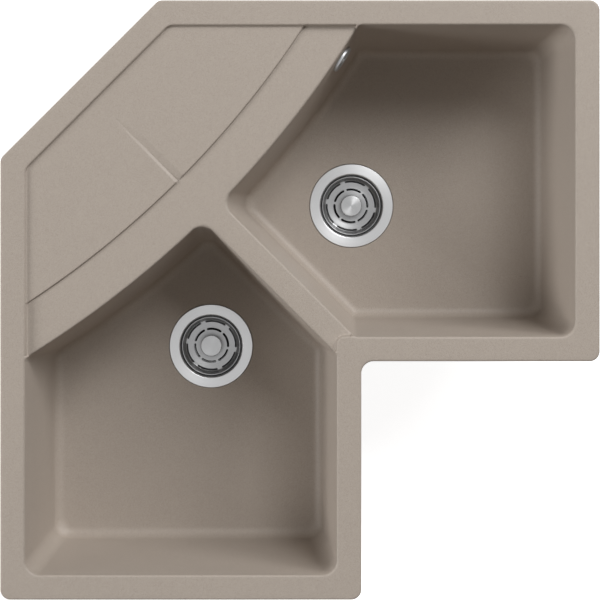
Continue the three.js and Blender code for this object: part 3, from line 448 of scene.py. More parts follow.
def in_metres(place):
    """A place in millimetres as one in metres: its turn is kept and its shift is scaled."""
    return Matrix.LocRotScale(place.to_translation() * MM, place.to_quaternion(), None)


def put(node, mesh, place=Matrix()):
    """A piece for a node: a copy of the mesh, with its place in its corners."""
    copy = mesh.copy()
    copy.name = node + "_shape"
    copy.transform(in_metres(place))
    pieces[node] = linked(copy.name, copy)
    return pieces[node]


# %% [markdown]
# ## The casting
#
# The bowls are profiles carried round an outline: over the lip, down the leaning wall, round the
# fillet, across the floor to the drain, through the throat, and back along the underside. The
# lip starts at the deck's own height, which changes where the rim's step runs into the bowl's
# corner. The deck between the two lips is flat with fine steps, so it is triangulated from rows
# of points that follow each step.

# %% A bowl's rows
CORNER_STEPS, SIDE_STEPS = 24, 64
LIP_ROWS, WALL_ROWS, FILLET_ROWS, FLOOR_ROWS, UNDER_ROWS = 8, 8, 9, 13, 6
LEVEL_TRIES = 6
KNOTS = np.linspace(-14, 50, 17)


def bowl_lines(rounds):
    """A function that gives the bowl's outline at any inset, also one that varies round it.

    It keeps the outline at a few insets and mixes the two nearest, point by point.
    """
    lines = np.array([outline(BOWL, k, rounds, CORNER_STEPS, SIDE_STEPS) for k in KNOTS])
    index = np.arange(lines.shape[1])

    def at(inset):
        inset = np.broadcast_to(inset, len(index))
        k = np.clip(np.searchsorted(KNOTS, inset) - 1, 0, len(KNOTS) - 2)
        share = ((inset - KNOTS[k]) / (KNOTS[k + 1] - KNOTS[k]))[:, None]
        return lines[k, index] * (1 - share) + lines[k + 1, index] * share

    return at


inside_at = bowl_lines(BOWL_ROUNDS)
outside_at = bowl_lines(BOWL_ROUNDS + WALL)
AROUND = len(inside_at(0))


def leaning(z):
    """Inset of the bowl's wall at a height: it leans in from the rim's top."""
    return (RIM_TOP - z) * SLANT


def lip_inset(level, angle):
    """Inset of the lip's round at an angle, where the deck is at a level: the round's centre
    lies its radius under the deck and its radius behind the wall."""
    centre = leaning(level - LIP_ROUND) - LIP_ROUND / math.cos(LEAN)
    return centre + LIP_ROUND * math.cos(angle)


level = np.full(AROUND, RIM_TOP)
for _ in range(LEVEL_TRIES):
    level = deck_height(inside_at(lip_inset(level, math.pi / 2)))


def row(points, z):
    """One row of a surface: (u, w, z), with one height or one for each point."""
    return np.column_stack([points, np.broadcast_to(z, len(points))])


def fillet_rows(at, floor, outset, radius, angles):
    """The rounded foot of a wall: an arc about a centre that lies a radius over the floor and
    a radius in from the wall."""
    centre_z = floor + radius
    centre = leaning(centre_z) - outset + radius / math.cos(LEAN)
    return [row(at(centre - radius * math.cos(a)), centre_z - radius * math.sin(a))
            for a in angles]


flange_low, flange_high = box_mm("right_waste_flange")
FLANGE_RADIUS = (flange_high - flange_low)[0] / 2
FLANGE_Z = flange_high[2]
SHEET = 1.2
GAP = 0.3
DISH_RADIUS = 46.2
SEAT_Z = DRAIN_Z - 1.3
THROAT_RADIUS = DISH_RADIUS + 2 * SHEET
LAND = 71.3
FLOOR_FALL = 0.03


def drain_ring(points, radius):
    """Each point moved to a circle about the drain, on its own bearing from it."""
    away = points - (DRAIN_U, DRAIN_W)
    return (DRAIN_U, DRAIN_W) + away * radius / np.linalg.norm(away, axis=1)[:, None]


def floor_level():
    """Height of the floor's edge all round: it rises evenly from the drain, up to FLOOR_Z."""
    edge = inside_at(leaning(FLOOR_Z) + FLOOR_FILLET)
    way = np.linalg.norm(edge - (DRAIN_U, DRAIN_W), axis=1) - LAND
    return np.minimum(DRAIN_Z + FLOOR_FALL * np.maximum(way, 0), FLOOR_Z)


def bowl_rows():
    """All rows of a bowl, from the deck over the lip and back to the deck's underside."""
    floor_z = floor_level()
    lip = [row(inside_at(lip_inset(level, a)), level - LIP_ROUND * (1 - math.sin(a)))
           for a in np.linspace(math.pi / 2, LEAN, LIP_ROWS)]
    top = lip[-1][:, 2]
    foot_z = floor_z + FLOOR_FILLET * (1 - math.sin(LEAN))
    wall = [row(inside_at(leaning(top + (foot_z - top) * s)), top + (foot_z - top) * s)
            for s in np.linspace(0, 1, WALL_ROWS)[1:-1]]
    bend = np.linspace(LEAN, math.pi / 2, FILLET_ROWS)
    fillet = fillet_rows(inside_at, floor_z, 0, FLOOR_FILLET, bend)
    edge = fillet[-1][:, :2]
    floor = [row(edge + (drain_ring(edge, LAND) - edge) * s,
                 floor_z + (DRAIN_Z - floor_z) * s)
             for s in np.linspace(0, 1, FLOOR_ROWS)[1:-1]]
    seat = rounded([[LAND, DRAIN_Z], [FLANGE_RADIUS + GAP, DRAIN_Z],
                    [FLANGE_RADIUS + GAP, SEAT_Z], [THROAT_RADIUS, SEAT_Z],
                    [THROAT_RADIUS, UNDER_Z], [LAND, UNDER_Z]], [0, 0.5, 0.3, 0.8, 0.8, 0])
    drain = [row(drain_ring(edge, radius), z) for radius, z in seat]
    fillet_under = fillet_rows(outside_at, UNDER_Z, WALL, FLOOR_FILLET + WALL, bend[::-1])
    under_edge = fillet_under[0][:, :2]
    under = [row(drain_ring(edge, LAND) * (1 - s) + under_edge * s, UNDER_Z)
             for s in np.linspace(0, 1, UNDER_ROWS)[1:-1]]
    back = [row(outside_at(leaning(DECK_Z) - WALL), DECK_Z)]
    return np.array([*lip, *wall, *fillet, *floor, *drain, *under, *fillet_under, *back])


bowl = bowl_rows()
print(f"each bowl has {bowl.shape[0]} rows of {AROUND} points")

# %% The rim's edge and the deck's triangles
RIM_SHELF = 9.0
ROW_SPACING, FLAT_SPACING, CELL = 2.5, 11.0, 0.35
WELL_OFFSETS = np.array([-4, -3, -2.3, -1.7, -1.1, -0.5, 0, 0.5, 1, 1.5, 2, 2.6, 3.3, 4.2, 5.5])
PLATE_OFFSETS = np.array([-3.5, -2.6, -1.8, -1.1, -0.6, 0, 0.6, 1.2, 1.9, 2.8, 4])
RIM_STEP_CLEAR, PLATE_CLEAR, GROOVE_CLEAR = 9.0, 7.0, 11.0
RIM_CLEAR, LIP_CLEAR = 1.5, 0.45


def rim_rows():
    """The rim's section carried round the outline: over its rounded edge, down its side, in
    along the seat and up the cut-out's side to the deck's underside."""
    section = rounded([[RIM_SHELF, RIM_TOP], [0, RIM_TOP], [0, 0], [SEAT_WIDTH, 0],
                       [SEAT_WIDTH, DECK_Z]], [0, RIM_EDGE, 0.5, 0.5, 0], 6)
    return np.array([
        row(outline(OUTLINE, inset, rim_rounds(inset), 16, 40), z) for inset, z in section])


def feature_points():
    """Points along every step of the deck: lines parallel to the rim's inner edge, arcs beside
    the plate's edge, and lines along the groove that spread as it widens."""
    per_side = round(SIDE / ROW_SPACING / 2)
    beside_rim = [outline(OUTLINE, RIM_WIDTH + k, well_rounds(k), 16, per_side)
                  for k in WELL_OFFSETS]
    bearing = np.linspace(0, math.pi / 2, round(DRAINER_RADIUS * math.pi / 2 / ROW_SPACING))
    beside_plate = [ARC_CENTRE + (DRAINER_RADIUS - k) * np.stack(
        [np.cos(bearing), np.sin(bearing)], 1) for k in PLATE_OFFSETS]
    steps = round((GROOVE_END - GROOVE_START) / DIAGONAL / ROW_SPACING * 1.5)
    along = np.linspace(-0.02, 1.02, steps)[:, None]
    middle, half = groove_middle(along)
    aside = (middle + half * np.unique([*GROOVE_SECTION[0], 0, 0.4])) * DIAGONAL
    spine = GROOVE_START + (GROOVE_END - GROOVE_START) * along
    beside_groove = np.stack([spine + aside, spine - aside], -1).reshape(-1, 2)
    return np.concatenate([*beside_rim, *beside_plate, beside_groove])


def flat_points():
    """A plain grid over the flat parts, clear of every step."""
    u, w = np.meshgrid(*[np.arange(0, SIDE, FLAT_SPACING)] * 2)
    points = np.stack([u.ravel(), w.ravel()], 1)
    beside_rim = np.abs(signed_distance(points, WELL_LOOP) - 1) < RIM_STEP_CLEAR
    from_plate = DRAINER_RADIUS - np.linalg.norm(points - ARC_CENTRE, axis=1)
    along, across = groove_place(points)
    in_groove = (np.abs(across) < GROOVE_CLEAR) & (np.abs(along - 0.5) < 0.6)
    return points[~(beside_rim | (np.abs(from_plate) < PLATE_CLEAR) | in_groove)]


def thinned(points):
    """At most one point in each cell of a fine grid."""
    _, keep = np.unique(np.round(points / CELL), axis=0, return_index=True)
    return points[np.sort(keep)]


def turning(a, b, c):
    """Which way the corners a, b, c turn: above 0 to the left, below 0 to the right."""
    return (b - a)[..., 0] * (c - a)[..., 1] - (b - a)[..., 1] * (c - a)[..., 0]


def triangulated(loops, points):
    """Triangles between an outer loop and the holes in it, through the given points.

    A triangle with all its corners on one loop may lie on either side of it. It lies inside
    where its corners, taken in the loop's order, turn the way the loop itself does.
    """
    corners = np.concatenate([*loops, points])
    starts = np.cumsum([0] + [len(loop) for loop in loops])
    edges = [np.stack([np.arange(a, b), np.roll(np.arange(a, b), -1)], 1)
             for a, b in zip(starts, starts[1:])]
    made = delaunay_2d_cdt(
        [Vector(p) for p in corners.tolist()], np.concatenate(edges).tolist(), [], 0, 1e-6)
    corners, faces = np.array([tuple(corner) for corner in made[0]]), np.array(made[2])
    sides = turning(*corners[np.sort(faces, 1)].transpose(1, 0, 2))
    keep = np.ones(len(faces), bool)
    for k, loop in enumerate(loops):
        way = turning(loop.mean(0), loop, np.roll(loop, -1, 0)).sum()
        on_loop = ((faces >= starts[k]) & (faces < starts[k + 1])).all(1)
        keep &= ~on_loop | ((sides * way > 0) == (k == 0))
    return corners, faces[keep]


rim = rim_rows()
lips = [bowl[0][:, :2], bowl[0][:, 1::-1]]
inner = thinned(np.concatenate([feature_points(), flat_points()]))
clear = signed_distance(inner, rim[0][:, :2]) > RIM_CLEAR
for lip in lips:
    clear &= signed_distance(inner, lip) < -LIP_CLEAR
deck, deck_faces = triangulated([rim[0][:, :2], *lips], inner[clear])
feet = [bowl[-1][:, :2], bowl[-1][:, 1::-1]]
under, under_faces = triangulated([rim[-1][:, :2], *feet], np.zeros((0, 2)))
print(len(deck_faces), "triangles on the deck,", len(under_faces), "under it")

# %% [markdown]
# All these surfaces share their borders point for point, so merging doubles makes one closed
# shell of them. The bosses for the clips are joined on underneath. Then the bores of the bosses
# and the hole of the overflow are cut, each with a tool that is a closed piece itself.

# %% Turned shapes
def turned(name, profile, sides=96, ripple=None):
    """A profile of [radius, height] carried round the axis.

    ripple(radius, height, angle) gives what to add to the radius: a thread, a rib or a grip.
    The UV map runs once round, and along the profile in metres, for brushed finishes.
    """
    profile = np.asarray(profile, float)
    angle = np.linspace(0, 2 * np.pi, sides, endpoint=False)
    radius, height = np.hsplit(profile, 2)
    swell = ripple(radius, height, angle) if ripple else 0 * angle
    radius = np.where(radius < 1e-6, 0, radius + swell)
    corners = np.stack(
        [radius * np.cos(angle), radius * np.sin(angle), height + 0 * angle], -1)
    faces = grid_faces(len(profile), sides)
    along = np.concatenate([[0], np.cumsum(np.linalg.norm(np.diff(profile, axis=0), axis=1))])
    r, c = np.divmod(np.arange(len(faces)), sides)
    u = np.stack([c, c + 1, c + 1, c], 1) / sides
    v = np.stack([along[r], along[r], along[r + 1], along[r + 1]], 1) * MM
    return make_mesh(name, corners.reshape(-1, 3), faces, np.stack([u, v], -1))


def dense(line, step):
    """The same line with more points, none further apart than a step."""
    line = np.asarray(line, float)
    counts = np.ceil(np.linalg.norm(np.diff(line, axis=0), axis=1) / step).astype(int)
    spans = [a + (b - a) * np.linspace(0, 1, max(n, 1), endpoint=False)[:, None]
             for a, b, n in zip(line, line[1:], counts)]
    return np.concatenate([*spans, line[-1:]])


def rod(radius, low, high):
    """A plain round bar, for cutting."""
    return turned("rod", [[0, low], [radius, low], [radius, high], [0, high]], 32)


def moved(mesh, place):
    """The mesh itself, moved to a place."""
    mesh.transform(in_metres(place))
    return mesh


def block(x, y, z, edge=0.4):
    """A block between two values of x, y and z, its edges eased.

    Its rows are rounded rectangles: a quarter circle about each of four centres, of radius 0
    at both ends and of the edge's radius between. A point in the middle closes each end.
    """
    inset, rise = edge * np.array([[1, 0.3, 0], [0, 0.3, 1]])
    radius = (edge - np.concatenate([inset, inset[::-1]]))[:, None, None]
    level = np.concatenate([z[0] + rise, z[1] - rise[::-1]])[:, None, None]
    centre_x = np.array(x)[[1, 0, 0, 1], None] + edge * np.array([-1, 1, 1, -1])[:, None]
    centre_y = np.array(y)[[1, 1, 0, 0], None] + edge * np.array([-1, -1, 1, 1])[:, None]
    angle = np.linspace(0, np.pi / 2, 4) + np.arange(4)[:, None] * np.pi / 2
    rows = np.stack([centre_x + radius * np.cos(angle), centre_y + radius * np.sin(angle),
                     level + 0 * angle], -1).reshape(len(level), -1, 3)
    ends = rows[[0, -1]].mean(1, keepdims=True) + 0 * rows[:1]
    rows = np.concatenate([ends[:1], rows, ends[1:]])
    return make_mesh("block", rows.reshape(-1, 3), grid_faces(len(rows), rows.shape[1]))


# %% The casting, joined
BOSS_X, BOSS_Y, BOSS_DEPTH, BOSS_OVERLAP = (-9.5, 7), (-8, 8), 34.0, 4.0
INSERT_LENGTH, INSERT_RADIUS = 22.0, 4.0
BORE_TOP, BORE_RADIUS = 0.5, 3.0
OVERFLOW_DROP, OVERFLOW_W = 56.0, 73.2
CLIPS = [((box_mm(f"clip_{k}_screw")[0] + box_mm(f"clip_{k}_screw")[1])[:2] / 2, outwards)
         for k, outwards in zip(range(1, 7), (90, 180, 0, -90, -90, 0))]
CLIP_PLACES = [shift(x, y) @ about(outwards) for (x, y), outwards in CLIPS]


def overflow_place():
    """The overflow's own frame: its origin on the bowl's curved wall, +Z square into the
    bowl, as the far centre of the arc and the wall's lean give it."""
    z = RIM_TOP - OVERFLOW_DROP
    angle = math.asin((OVERFLOW_W - ARC_CENTRE) / BOWL_RADIUS)
    radius = BOWL_RADIUS + leaning(z)
    u, w = ARC_CENTRE + radius * math.cos(angle), ARC_CENTRE + radius * math.sin(angle)
    normal = Vector((math.cos(angle) * math.cos(LEAN), -math.sin(angle) * math.cos(LEAN),
                     math.sin(LEAN)))
    level = Vector((0, 0, 1)).cross(normal).normalized()
    turn = Matrix([level, normal.cross(level), normal]).transposed()
    return Matrix.Translation((u - LEG, LEG - w, z)) @ turn.to_4x4()


OVERFLOW = overflow_place()


def casting():
    """The shell from all its surfaces, with bosses joined and bores cut."""
    heights = deck_height(deck)
    on_loops = np.arange(len(rim[0]) + 2 * AROUND)
    heights[on_loops] = np.concatenate([np.full(len(rim[0]), RIM_TOP), level, level])
    left = bowl[..., [1, 0, 2]]
    surfaces = [(bowl.reshape(-1, 3), grid_faces(len(bowl), AROUND)),
                (left.reshape(-1, 3), grid_faces(len(bowl), AROUND)),
                (rim.reshape(-1, 3), grid_faces(len(rim), rim.shape[1])),
                (row(deck, heights), deck_faces), (row(under, DECK_Z), under_faces)]
    starts = np.cumsum([0] + [len(points) for points, _ in surfaces])
    plan = np.concatenate([points for points, _ in surfaces])
    corners = np.stack([plan[:, 0] - LEG, LEG - plan[:, 1], plan[:, 2]], 1)
    faces = [face for (_, some), first in zip(surfaces, starts) for face in some + first]
    body = make_mesh("sink_body", corners, faces)
    bosses = [moved(block(BOSS_X, BOSS_Y, (-BOSS_DEPTH, DECK_Z + BOSS_OVERLAP), edge=2), place)
              for place in CLIP_PLACES]
    body = combined(body, [together(bosses)], "UNION")
    insert_top = INSERT_LENGTH - BOSS_DEPTH
    bore = [[0, -BOSS_DEPTH - 1], [INSERT_RADIUS, -BOSS_DEPTH - 1], [INSERT_RADIUS, insert_top],
            [BORE_RADIUS, insert_top], [BORE_RADIUS, BORE_TOP], [0, BORE_TOP]]
    cuts = [moved(turned("bore", bore, 32), place) for place in CLIP_PLACES]
    hole = rounded([[0, -20], [13, -20], [13, -1.2], [14.4, 0.1], [14.4, 10], [0, 10]],
                   [0, 0, 1.5, 0.4, 0, 0])
    cuts.append(moved(turned("hole", hole, 64), OVERFLOW))
    return combined(body, [together(cuts)], "DIFFERENCE")


body = put("sink_body", casting())
print("sink_body:", len(body.data.polygons), "faces")

# %% [markdown]
# ## The basket strainers
#
# Each drain is a deep dish pressed from sheet steel, with a basket that lifts out of it by a spun
# knob. A pressed sheet is one line, turned, with its thickness set off square to it. The slots
# and holes are cut afterwards, with rounded ends as a punch leaves them. The finest detail here
# is the way the metal was turned and brushed, so each profile keeps its UV map for the finish.

# %% Pressed sheets and slots
def pressed(line, thickness):
    """The closed profile of a sheet: the line, and back along it set off by the thickness.

    Each point moves square to the mean direction of the line there. Both edges are eased.
    """
    line = np.asarray(line, float)
    step = np.gradient(line, axis=0)
    step /= np.linalg.norm(step, axis=1)[:, None]
    under = line + np.stack([step[:, 1], -step[:, 0]], 1) * thickness
    ease = thickness * 0.22
    closed = np.concatenate([line, under[::-1], line[:1]])
    corners = {0: ease, len(line) - 1: ease, len(line): ease, 2 * len(line) - 1: ease}
    spun = np.roll(closed[:-1], -len(line) // 2, 0)
    radii = np.roll([corners.get(k, 0) for k in range(2 * len(line))], -len(line) // 2)
    return rounded(np.concatenate([spun, spun[:1]]), [*radii, 0], 3)


def arc_slot(radius, width, middle, sweep, low, high):
    """A slot along an arc about the axis: its two sides, and half circles at its ends."""
    half = math.radians(sweep) / 2
    along = np.linspace(-half, half, 13)
    end = np.linspace(-np.pi / 2, np.pi / 2, 7)[1:-1]
    outer = (radius + width / 2) * np.exp(1j * along)
    inner = (radius - width / 2) * np.exp(1j * along[::-1])
    cap = width / 2 * np.exp(1j * (end + np.pi / 2))
    last = (radius + cap) * np.exp(1j * half)
    first = (radius - cap) * np.exp(-1j * half)
    ring = np.concatenate([outer, last, inner, first]) * np.exp(1j * math.radians(middle))
    plan = np.stack([ring.real, ring.imag], 1)
    count = len(plan)
    faces = [*grid_faces(2, count), list(range(count))[::-1], list(range(count, 2 * count))]
    return make_mesh("slot", np.concatenate([row(plan, low), row(plan, high)]), faces)


def ring_of(count, tool):
    """Copies of a tool turned evenly about the axis, as one mesh."""
    return together([moved(tool.copy(), about(360 * k / count)) for k in range(count)])


DISH_Z = FLANGE_Z - 36
DISH_HOLE, DISH_HOLE_PLACE = 5.5, 17.0
BASKET_Z = FLANGE_Z - 17.5
BASKET_RIM = BASKET_Z + 13.5
SHELF_Z = BASKET_Z + 0.9
KNOB_TOP = BASKET_Z + GAP + 11.6

# %% The dish and its flange
dish = turned("dish", pressed(rounded([
    [3.3, DISH_Z], [31, DISH_Z], [36.6, DISH_Z + 3.6], [44.2, FLANGE_Z - 12],
    [DISH_RADIUS, FLANGE_Z - 3.4], [DISH_RADIUS + 1.4, FLANGE_Z], [FLANGE_RADIUS - 1, FLANGE_Z],
    [FLANGE_RADIUS, FLANGE_Z - SHEET]], [0, 4, 5, 6, 3, 2.2, 0.4, 0], 6), SHEET), 160)
hole = moved(rod(DISH_HOLE, DISH_Z - 3, DISH_Z + 2), shift(DISH_HOLE_PLACE, 0))
dish = combined(dish, [ring_of(6, hole)], "DIFFERENCE")
print("dish:", len(dish.polygons), "faces")

# %% The basket, its knob, stem and stopper
basket = turned("basket", pressed(rounded([
    [3.3, BASKET_Z], [28, BASKET_Z], [34.4, SHELF_Z], [39, SHELF_Z],
    [42.4, BASKET_RIM - 1], [42.8, BASKET_RIM], [43.8, BASKET_RIM]],
    [0, 6, 4, 3.6, 1, 0.6, 0], 7), 1), 160)
slots = [arc_slot(radius, width, middle=80, sweep=45, low=BASKET_Z - 2, high=SHELF_Z + 1.4)
         for radius, width in ((25, 3.4), (36.8, 2.8))]
basket = combined(basket, [ring_of(6, slot) for slot in slots], "DIFFERENCE")

share = np.linspace(0, 1, 9)
knob = turned("knob", rounded([
    *np.stack([15.1 * share, KNOB_TOP - 0.5 * share ** 2], 1), [15.75, KNOB_TOP - 1.2],
    [15.75, KNOB_TOP - 2.6], [11, BASKET_Z + 4.6], [6.3, BASKET_Z + 1.6], [6.3, BASKET_Z + GAP],
    [3, BASKET_Z + GAP], [3, BASKET_Z - 6], [0, BASKET_Z - 6]],
    [*[0] * 8, 0.6, 0.7, 0.5, 3, 1.5, 0.3, 0.2, 0.6, 0], 5), 128)

flange_z = DISH_Z + 4.6
stem = turned("stem", rounded([
    [3.3, BASKET_Z - 1.3], [8, BASKET_Z - 1.3], [8, flange_z + SHEET], [14, flange_z + SHEET],
    [14, flange_z], [8, flange_z], [8, DISH_Z + 2], [9.4, DISH_Z + 2], [9.4, DISH_Z + 0.6],
    [6, DISH_Z + 0.6], [6, flange_z + SHEET], [3.3, flange_z + 2.4], [3.3, BASKET_Z - 1.3]],
    [0, 0.6, 0.8, 0.4, 0.4, 0.2, 0.2, 0.3, 0.5, 0.3, 0.3, 0.2, 0]), 64)

seal_top = DISH_Z + 4.3
stopper = turned("stopper", rounded([
    [15, seal_top], [8.3, seal_top], [8.3, DISH_Z + 2.3], [9.7, DISH_Z + 2.3], [9.7, DISH_Z + 0.3],
    [24.6, DISH_Z + 0.3], [26, DISH_Z + 1.2], [25.6, DISH_Z + 2], [22.6, seal_top - 0.6],
    [15, seal_top]], [0, 0.2, 0.2, 0.2, 0.3, 0.5, 0.4, 0.3, 1.2, 0]))
print("basket:", len(basket.polygons), "faces, knob:", len(knob.polygons))

# %% [markdown]
# ## Under the drain
#
# A moulded plastic body hangs under each drain on one long screw, with rubber above it, and ends
# in a threaded outlet with its nut. A thread is a turned shape whose radius also depends on the
# angle: it falls and rises once for every pitch of height, shifted by the share of a turn. The
# body's arms and its inlet for the overflow are joined to the turned shape.

# %% Threads, grips and screws
def wave(share):
    """A rounded ridge, 1 in the middle of each whole share and 0 between."""
    return 0.5 + 0.5 * np.cos(2 * np.pi * share)


def thread(pitch, depth, low, high, at_radius):
    """A ripple: a screw thread cut into one radius, fading in and out at both ends."""
    def ripple(radius, height, angle):
        ends = np.clip(np.minimum(height - low, high - height) / pitch, 0, 1)
        shaft = np.abs(radius - at_radius) < 0.05
        turn = height / pitch - angle / (2 * np.pi)
        return -depth * wave(turn) * ends * shaft
    return ripple


def screw(shank, foot, seat, head, height, pitch):
    """A slotted screw about the axis: a threaded shank and a domed head above its seat."""
    top = seat + height
    profile = [[0, foot], [shank - 1, foot], [shank, foot + 1], [shank, seat], [head, seat],
               [head, top - height * 0.45], [head * 0.7, top - 0.1], [0, top]]
    ease = [0, 0, 0, 0, 0.25, height * 0.4, height, 0]
    line = rounded(profile, ease)
    low, high = line[:, 1] < seat - 0.1, line[:, 1] >= seat - 0.1
    shaft = dense([*line[low], [shank, seat]], pitch / 7)
    body = turned("screw", np.concatenate([shaft, line[high][1:]]), 28,
                  thread(pitch, pitch * 0.5, foot + 1, seat - 0.6, shank))
    slot = block((-head - 1, head + 1), (-0.6, 0.6), (top - 1.5, top + 1), edge=0.1)
    return combined(body, [slot], "DIFFERENCE")


WASTE_SEAT = DISH_Z + GAP
SCREW_FOOT = WASTE_SEAT - 21
waste_screw = screw(shank=3, foot=SCREW_FOOT, seat=WASTE_SEAT, head=5.5, height=3.2, pitch=1.0)

# %% Rubber rings and the moulded body
GASKET_Z = UNDER_Z - GAP
BODY_Z = GASKET_Z - 2.5 - GAP
HOSE_Z = BODY_Z - 17
CHAMBER_FOOT = BODY_Z - 37
NECK = CHAMBER_FOOT - 18
OUTLET_Z = NECK - 22
OUTLET_RADIUS, OUTLET_BORE = 23.9, 18.5
SPIGOT_RADIUS, SPIGOT_BORE, SPIGOT_END = 9.5, 7.4, 69.6


def ring(name, inner, outer, low, high, ease=0.5):
    """A ring of rubber with eased edges."""
    middle = (inner + outer) / 2
    return turned(name, rounded([[middle, high], [inner, high], [inner, low], [outer, low],
                                 [outer, high], [middle, high]], [0, *[ease] * 4, 0]))


seal = ring("seal", THROAT_RADIUS + 1, 59.4, SEAT_Z + GAP, SEAT_Z + GAP + 1, 0.3)
gasket = ring("gasket", THROAT_RADIUS + 1, 58, GASKET_Z - 2.5, GASKET_Z)


def barbs(first, way):
    """Part of a spigot's profile: four barbs from a height on, up (way 1) or down (way -1).

    Each falls by 0.4 mm within 0.2 mm, and the radius is whole again 2.6 mm on.
    """
    return [[SPIGOT_RADIUS - fall, first + way * (2.6 * k + fall / 2)]
            for k in range(4) for fall in (0, 0.4)]


def waste_body(aim):
    """The body: a chamber under a flange, a cone and a threaded outlet, a hub on six arms.

    aim is the bearing of the overflow's spigot in degrees, where there is one.
    """
    outside = dense(rounded([
        [0, BODY_Z], [58, BODY_Z], [58, BODY_Z - 4], [52.6, BODY_Z - 4], [52.6, CHAMBER_FOOT],
        [38, CHAMBER_FOOT - 9.5], [OUTLET_RADIUS, NECK], [OUTLET_RADIUS, OUTLET_Z],
        [0, OUTLET_Z]], [0, 0.6, 0.8, 1.5, 7, 12, 7, 0.8, 0]), 0.55)
    body = turned("body", outside, 96, thread(
        pitch=3.2, depth=1.1, low=OUTLET_Z - 3, high=NECK - 2.5, at_radius=OUTLET_RADIUS))
    inside = turned("inside", rounded([
        [0, BODY_Z + 1], [49.8, BODY_Z + 1], [49.8, CHAMBER_FOOT], [35, CHAMBER_FOOT - 7],
        [OUTLET_BORE, NECK], [OUTLET_BORE, OUTLET_Z - 1], [0, OUTLET_Z - 1]],
        [0, 0, 5, 10, 8, 0, 0]))
    body = combined(body, [inside], "DIFFERENCE")
    hub_top, hub_foot = DISH_Z - SHEET - GAP, SCREW_FOOT - 2.8
    arm_top = (hub_top + hub_foot) / 2
    arms = ring_of(6, block((6, 52), (-1.4, 1.4), (hub_foot + 0.6, arm_top)))
    reach = turned("reach", rounded([
        [0, BODY_Z], [51, BODY_Z], [51, CHAMBER_FOOT], [36.2, CHAMBER_FOOT - 7.8],
        [19.8, NECK], [0, NECK]], [0, 0, 5, 10, 0, 0]), 90)
    arms = combined(arms, [reach], "INTERSECT")
    hub = turned("hub", rounded([[0, hub_foot], [8, hub_foot], [8, hub_top], [0, hub_top]],
                                [0, 0.8, 0.6, 0]), 48)
    body = combined(combined(body, [arms], "UNION"), [hub], "UNION")
    bore = [rod(3.3, SCREW_FOOT - GAP, hub_top + 1)]
    if aim is not None:
        turn = about(aim) @ shift(0, 0, HOSE_Z) @ about(90, "Y")
        spigot = rounded([
            [0, 50.5], [SPIGOT_RADIUS, 50.5], *barbs(56, 1), [9.3, 67], [8.4, SPIGOT_END],
            [0, SPIGOT_END]], [0, 0, *[0.15] * 9, 0.5, 0])
        body = combined(body, [moved(turned("spigot", spigot, 48), turn)], "UNION")
        bore.append(moved(rod(SPIGOT_BORE, 47, 71), turn))
    return combined(body, bore, "DIFFERENCE")


def nut_wings(radius, height, angle):
    """A ripple: six wings that stand 2 mm out of the nut, and a fine grip between them.

    A wing is 5 mm wide with sides that ease over 0.8 mm, and the wings lie 30.6 mm apart.
    """
    outer, low, high = radius > 26, OUTLET_Z - 3.6, OUTLET_Z + 14
    turns = angle / (2 * np.pi)
    apart = ((6 * turns + 0.5) % 1 - 0.5) * 30.6
    wing = np.clip((2.5 - np.abs(apart)) / 0.8, 0, 1)
    ends = np.clip(np.minimum(height - low, high - height) / 0.8, 0, 1)
    grip = -0.35 * wave(72 * turns) * (1 - wing)
    return outer * ends * (2 * wing * wing * (3 - 2 * wing) + grip)


nut = turned("nut", dense(rounded([
    [20.5, OUTLET_Z - 5], [20.5, OUTLET_Z - 6.4], [29.2, OUTLET_Z - 6.4], [29.2, OUTLET_Z + 17],
    [24.2, OUTLET_Z + 17], [24.2, OUTLET_Z - 3.6], [20.5, OUTLET_Z - 3.6],
    [20.5, OUTLET_Z - 5]], [0, 0.5, 1.2, 1.2, 0.8, 0.3, 0.3, 0]), 1), 6 * 72, nut_wings)
washer = turned("washer", rounded([
    [22, OUTLET_Z - 3.3], [OUTLET_RADIUS, OUTLET_Z - 3.3], [OUTLET_RADIUS, OUTLET_Z - GAP],
    [19.5, OUTLET_Z - GAP], [OUTLET_BORE, OUTLET_Z - 3.3], [22, OUTLET_Z - 3.3]],
    [0, 0.3, 0.3, 0.3, 0.3, 0]))

# %% Both strainers in place
DRAINS = {"right": (DRAIN_U - LEG, LEG - DRAIN_W), "left": (DRAIN_W - LEG, LEG - DRAIN_U)}
ELBOW_FRONT = -11.6
ELBOW_BACK = ELBOW_FRONT - 30
SPIGOT_FROM_BACK = 12.3
elbow_axis = OVERFLOW @ Vector((0, 0, ELBOW_BACK + SPIGOT_FROM_BACK))
across = Vector((*DRAINS["right"], 0)) - Vector((*elbow_axis[:2], 0))
span = across.length
across.normalize()
shapes = {
    "waste_flange": dish, "flange_seal": seal, "waste_gasket": gasket, "waste_screw": waste_screw,
    "outlet_nut": nut, "outlet_washer": washer, "basket": basket, "basket_knob": knob,
    "basket_stem": stem, "stopper_seal": stopper}
for hand, (x, y) in DRAINS.items():
    for name, mesh in shapes.items():
        put(f"{hand}_{name}", mesh, shift(x, y))
    aim = math.degrees(math.atan2(-across.y, -across.x)) if hand == "right" else None
    put(f"{hand}_waste_body", waste_body(aim), shift(x, y))
print(len(pieces), "pieces so far; the overflow lies", round(span), "mm from its drain")

# %% [markdown]
# ## The overflow
#
# A chromed rosette covers the hole in the right bowl's curved wall. Behind it a moulded elbow
# holds a ribbed hose, which leaves straight down, turns once and runs level to the waste body.
# The hose is a circle carried along that route. Its radius rises and falls with the distance
# along it, which makes the ribs.

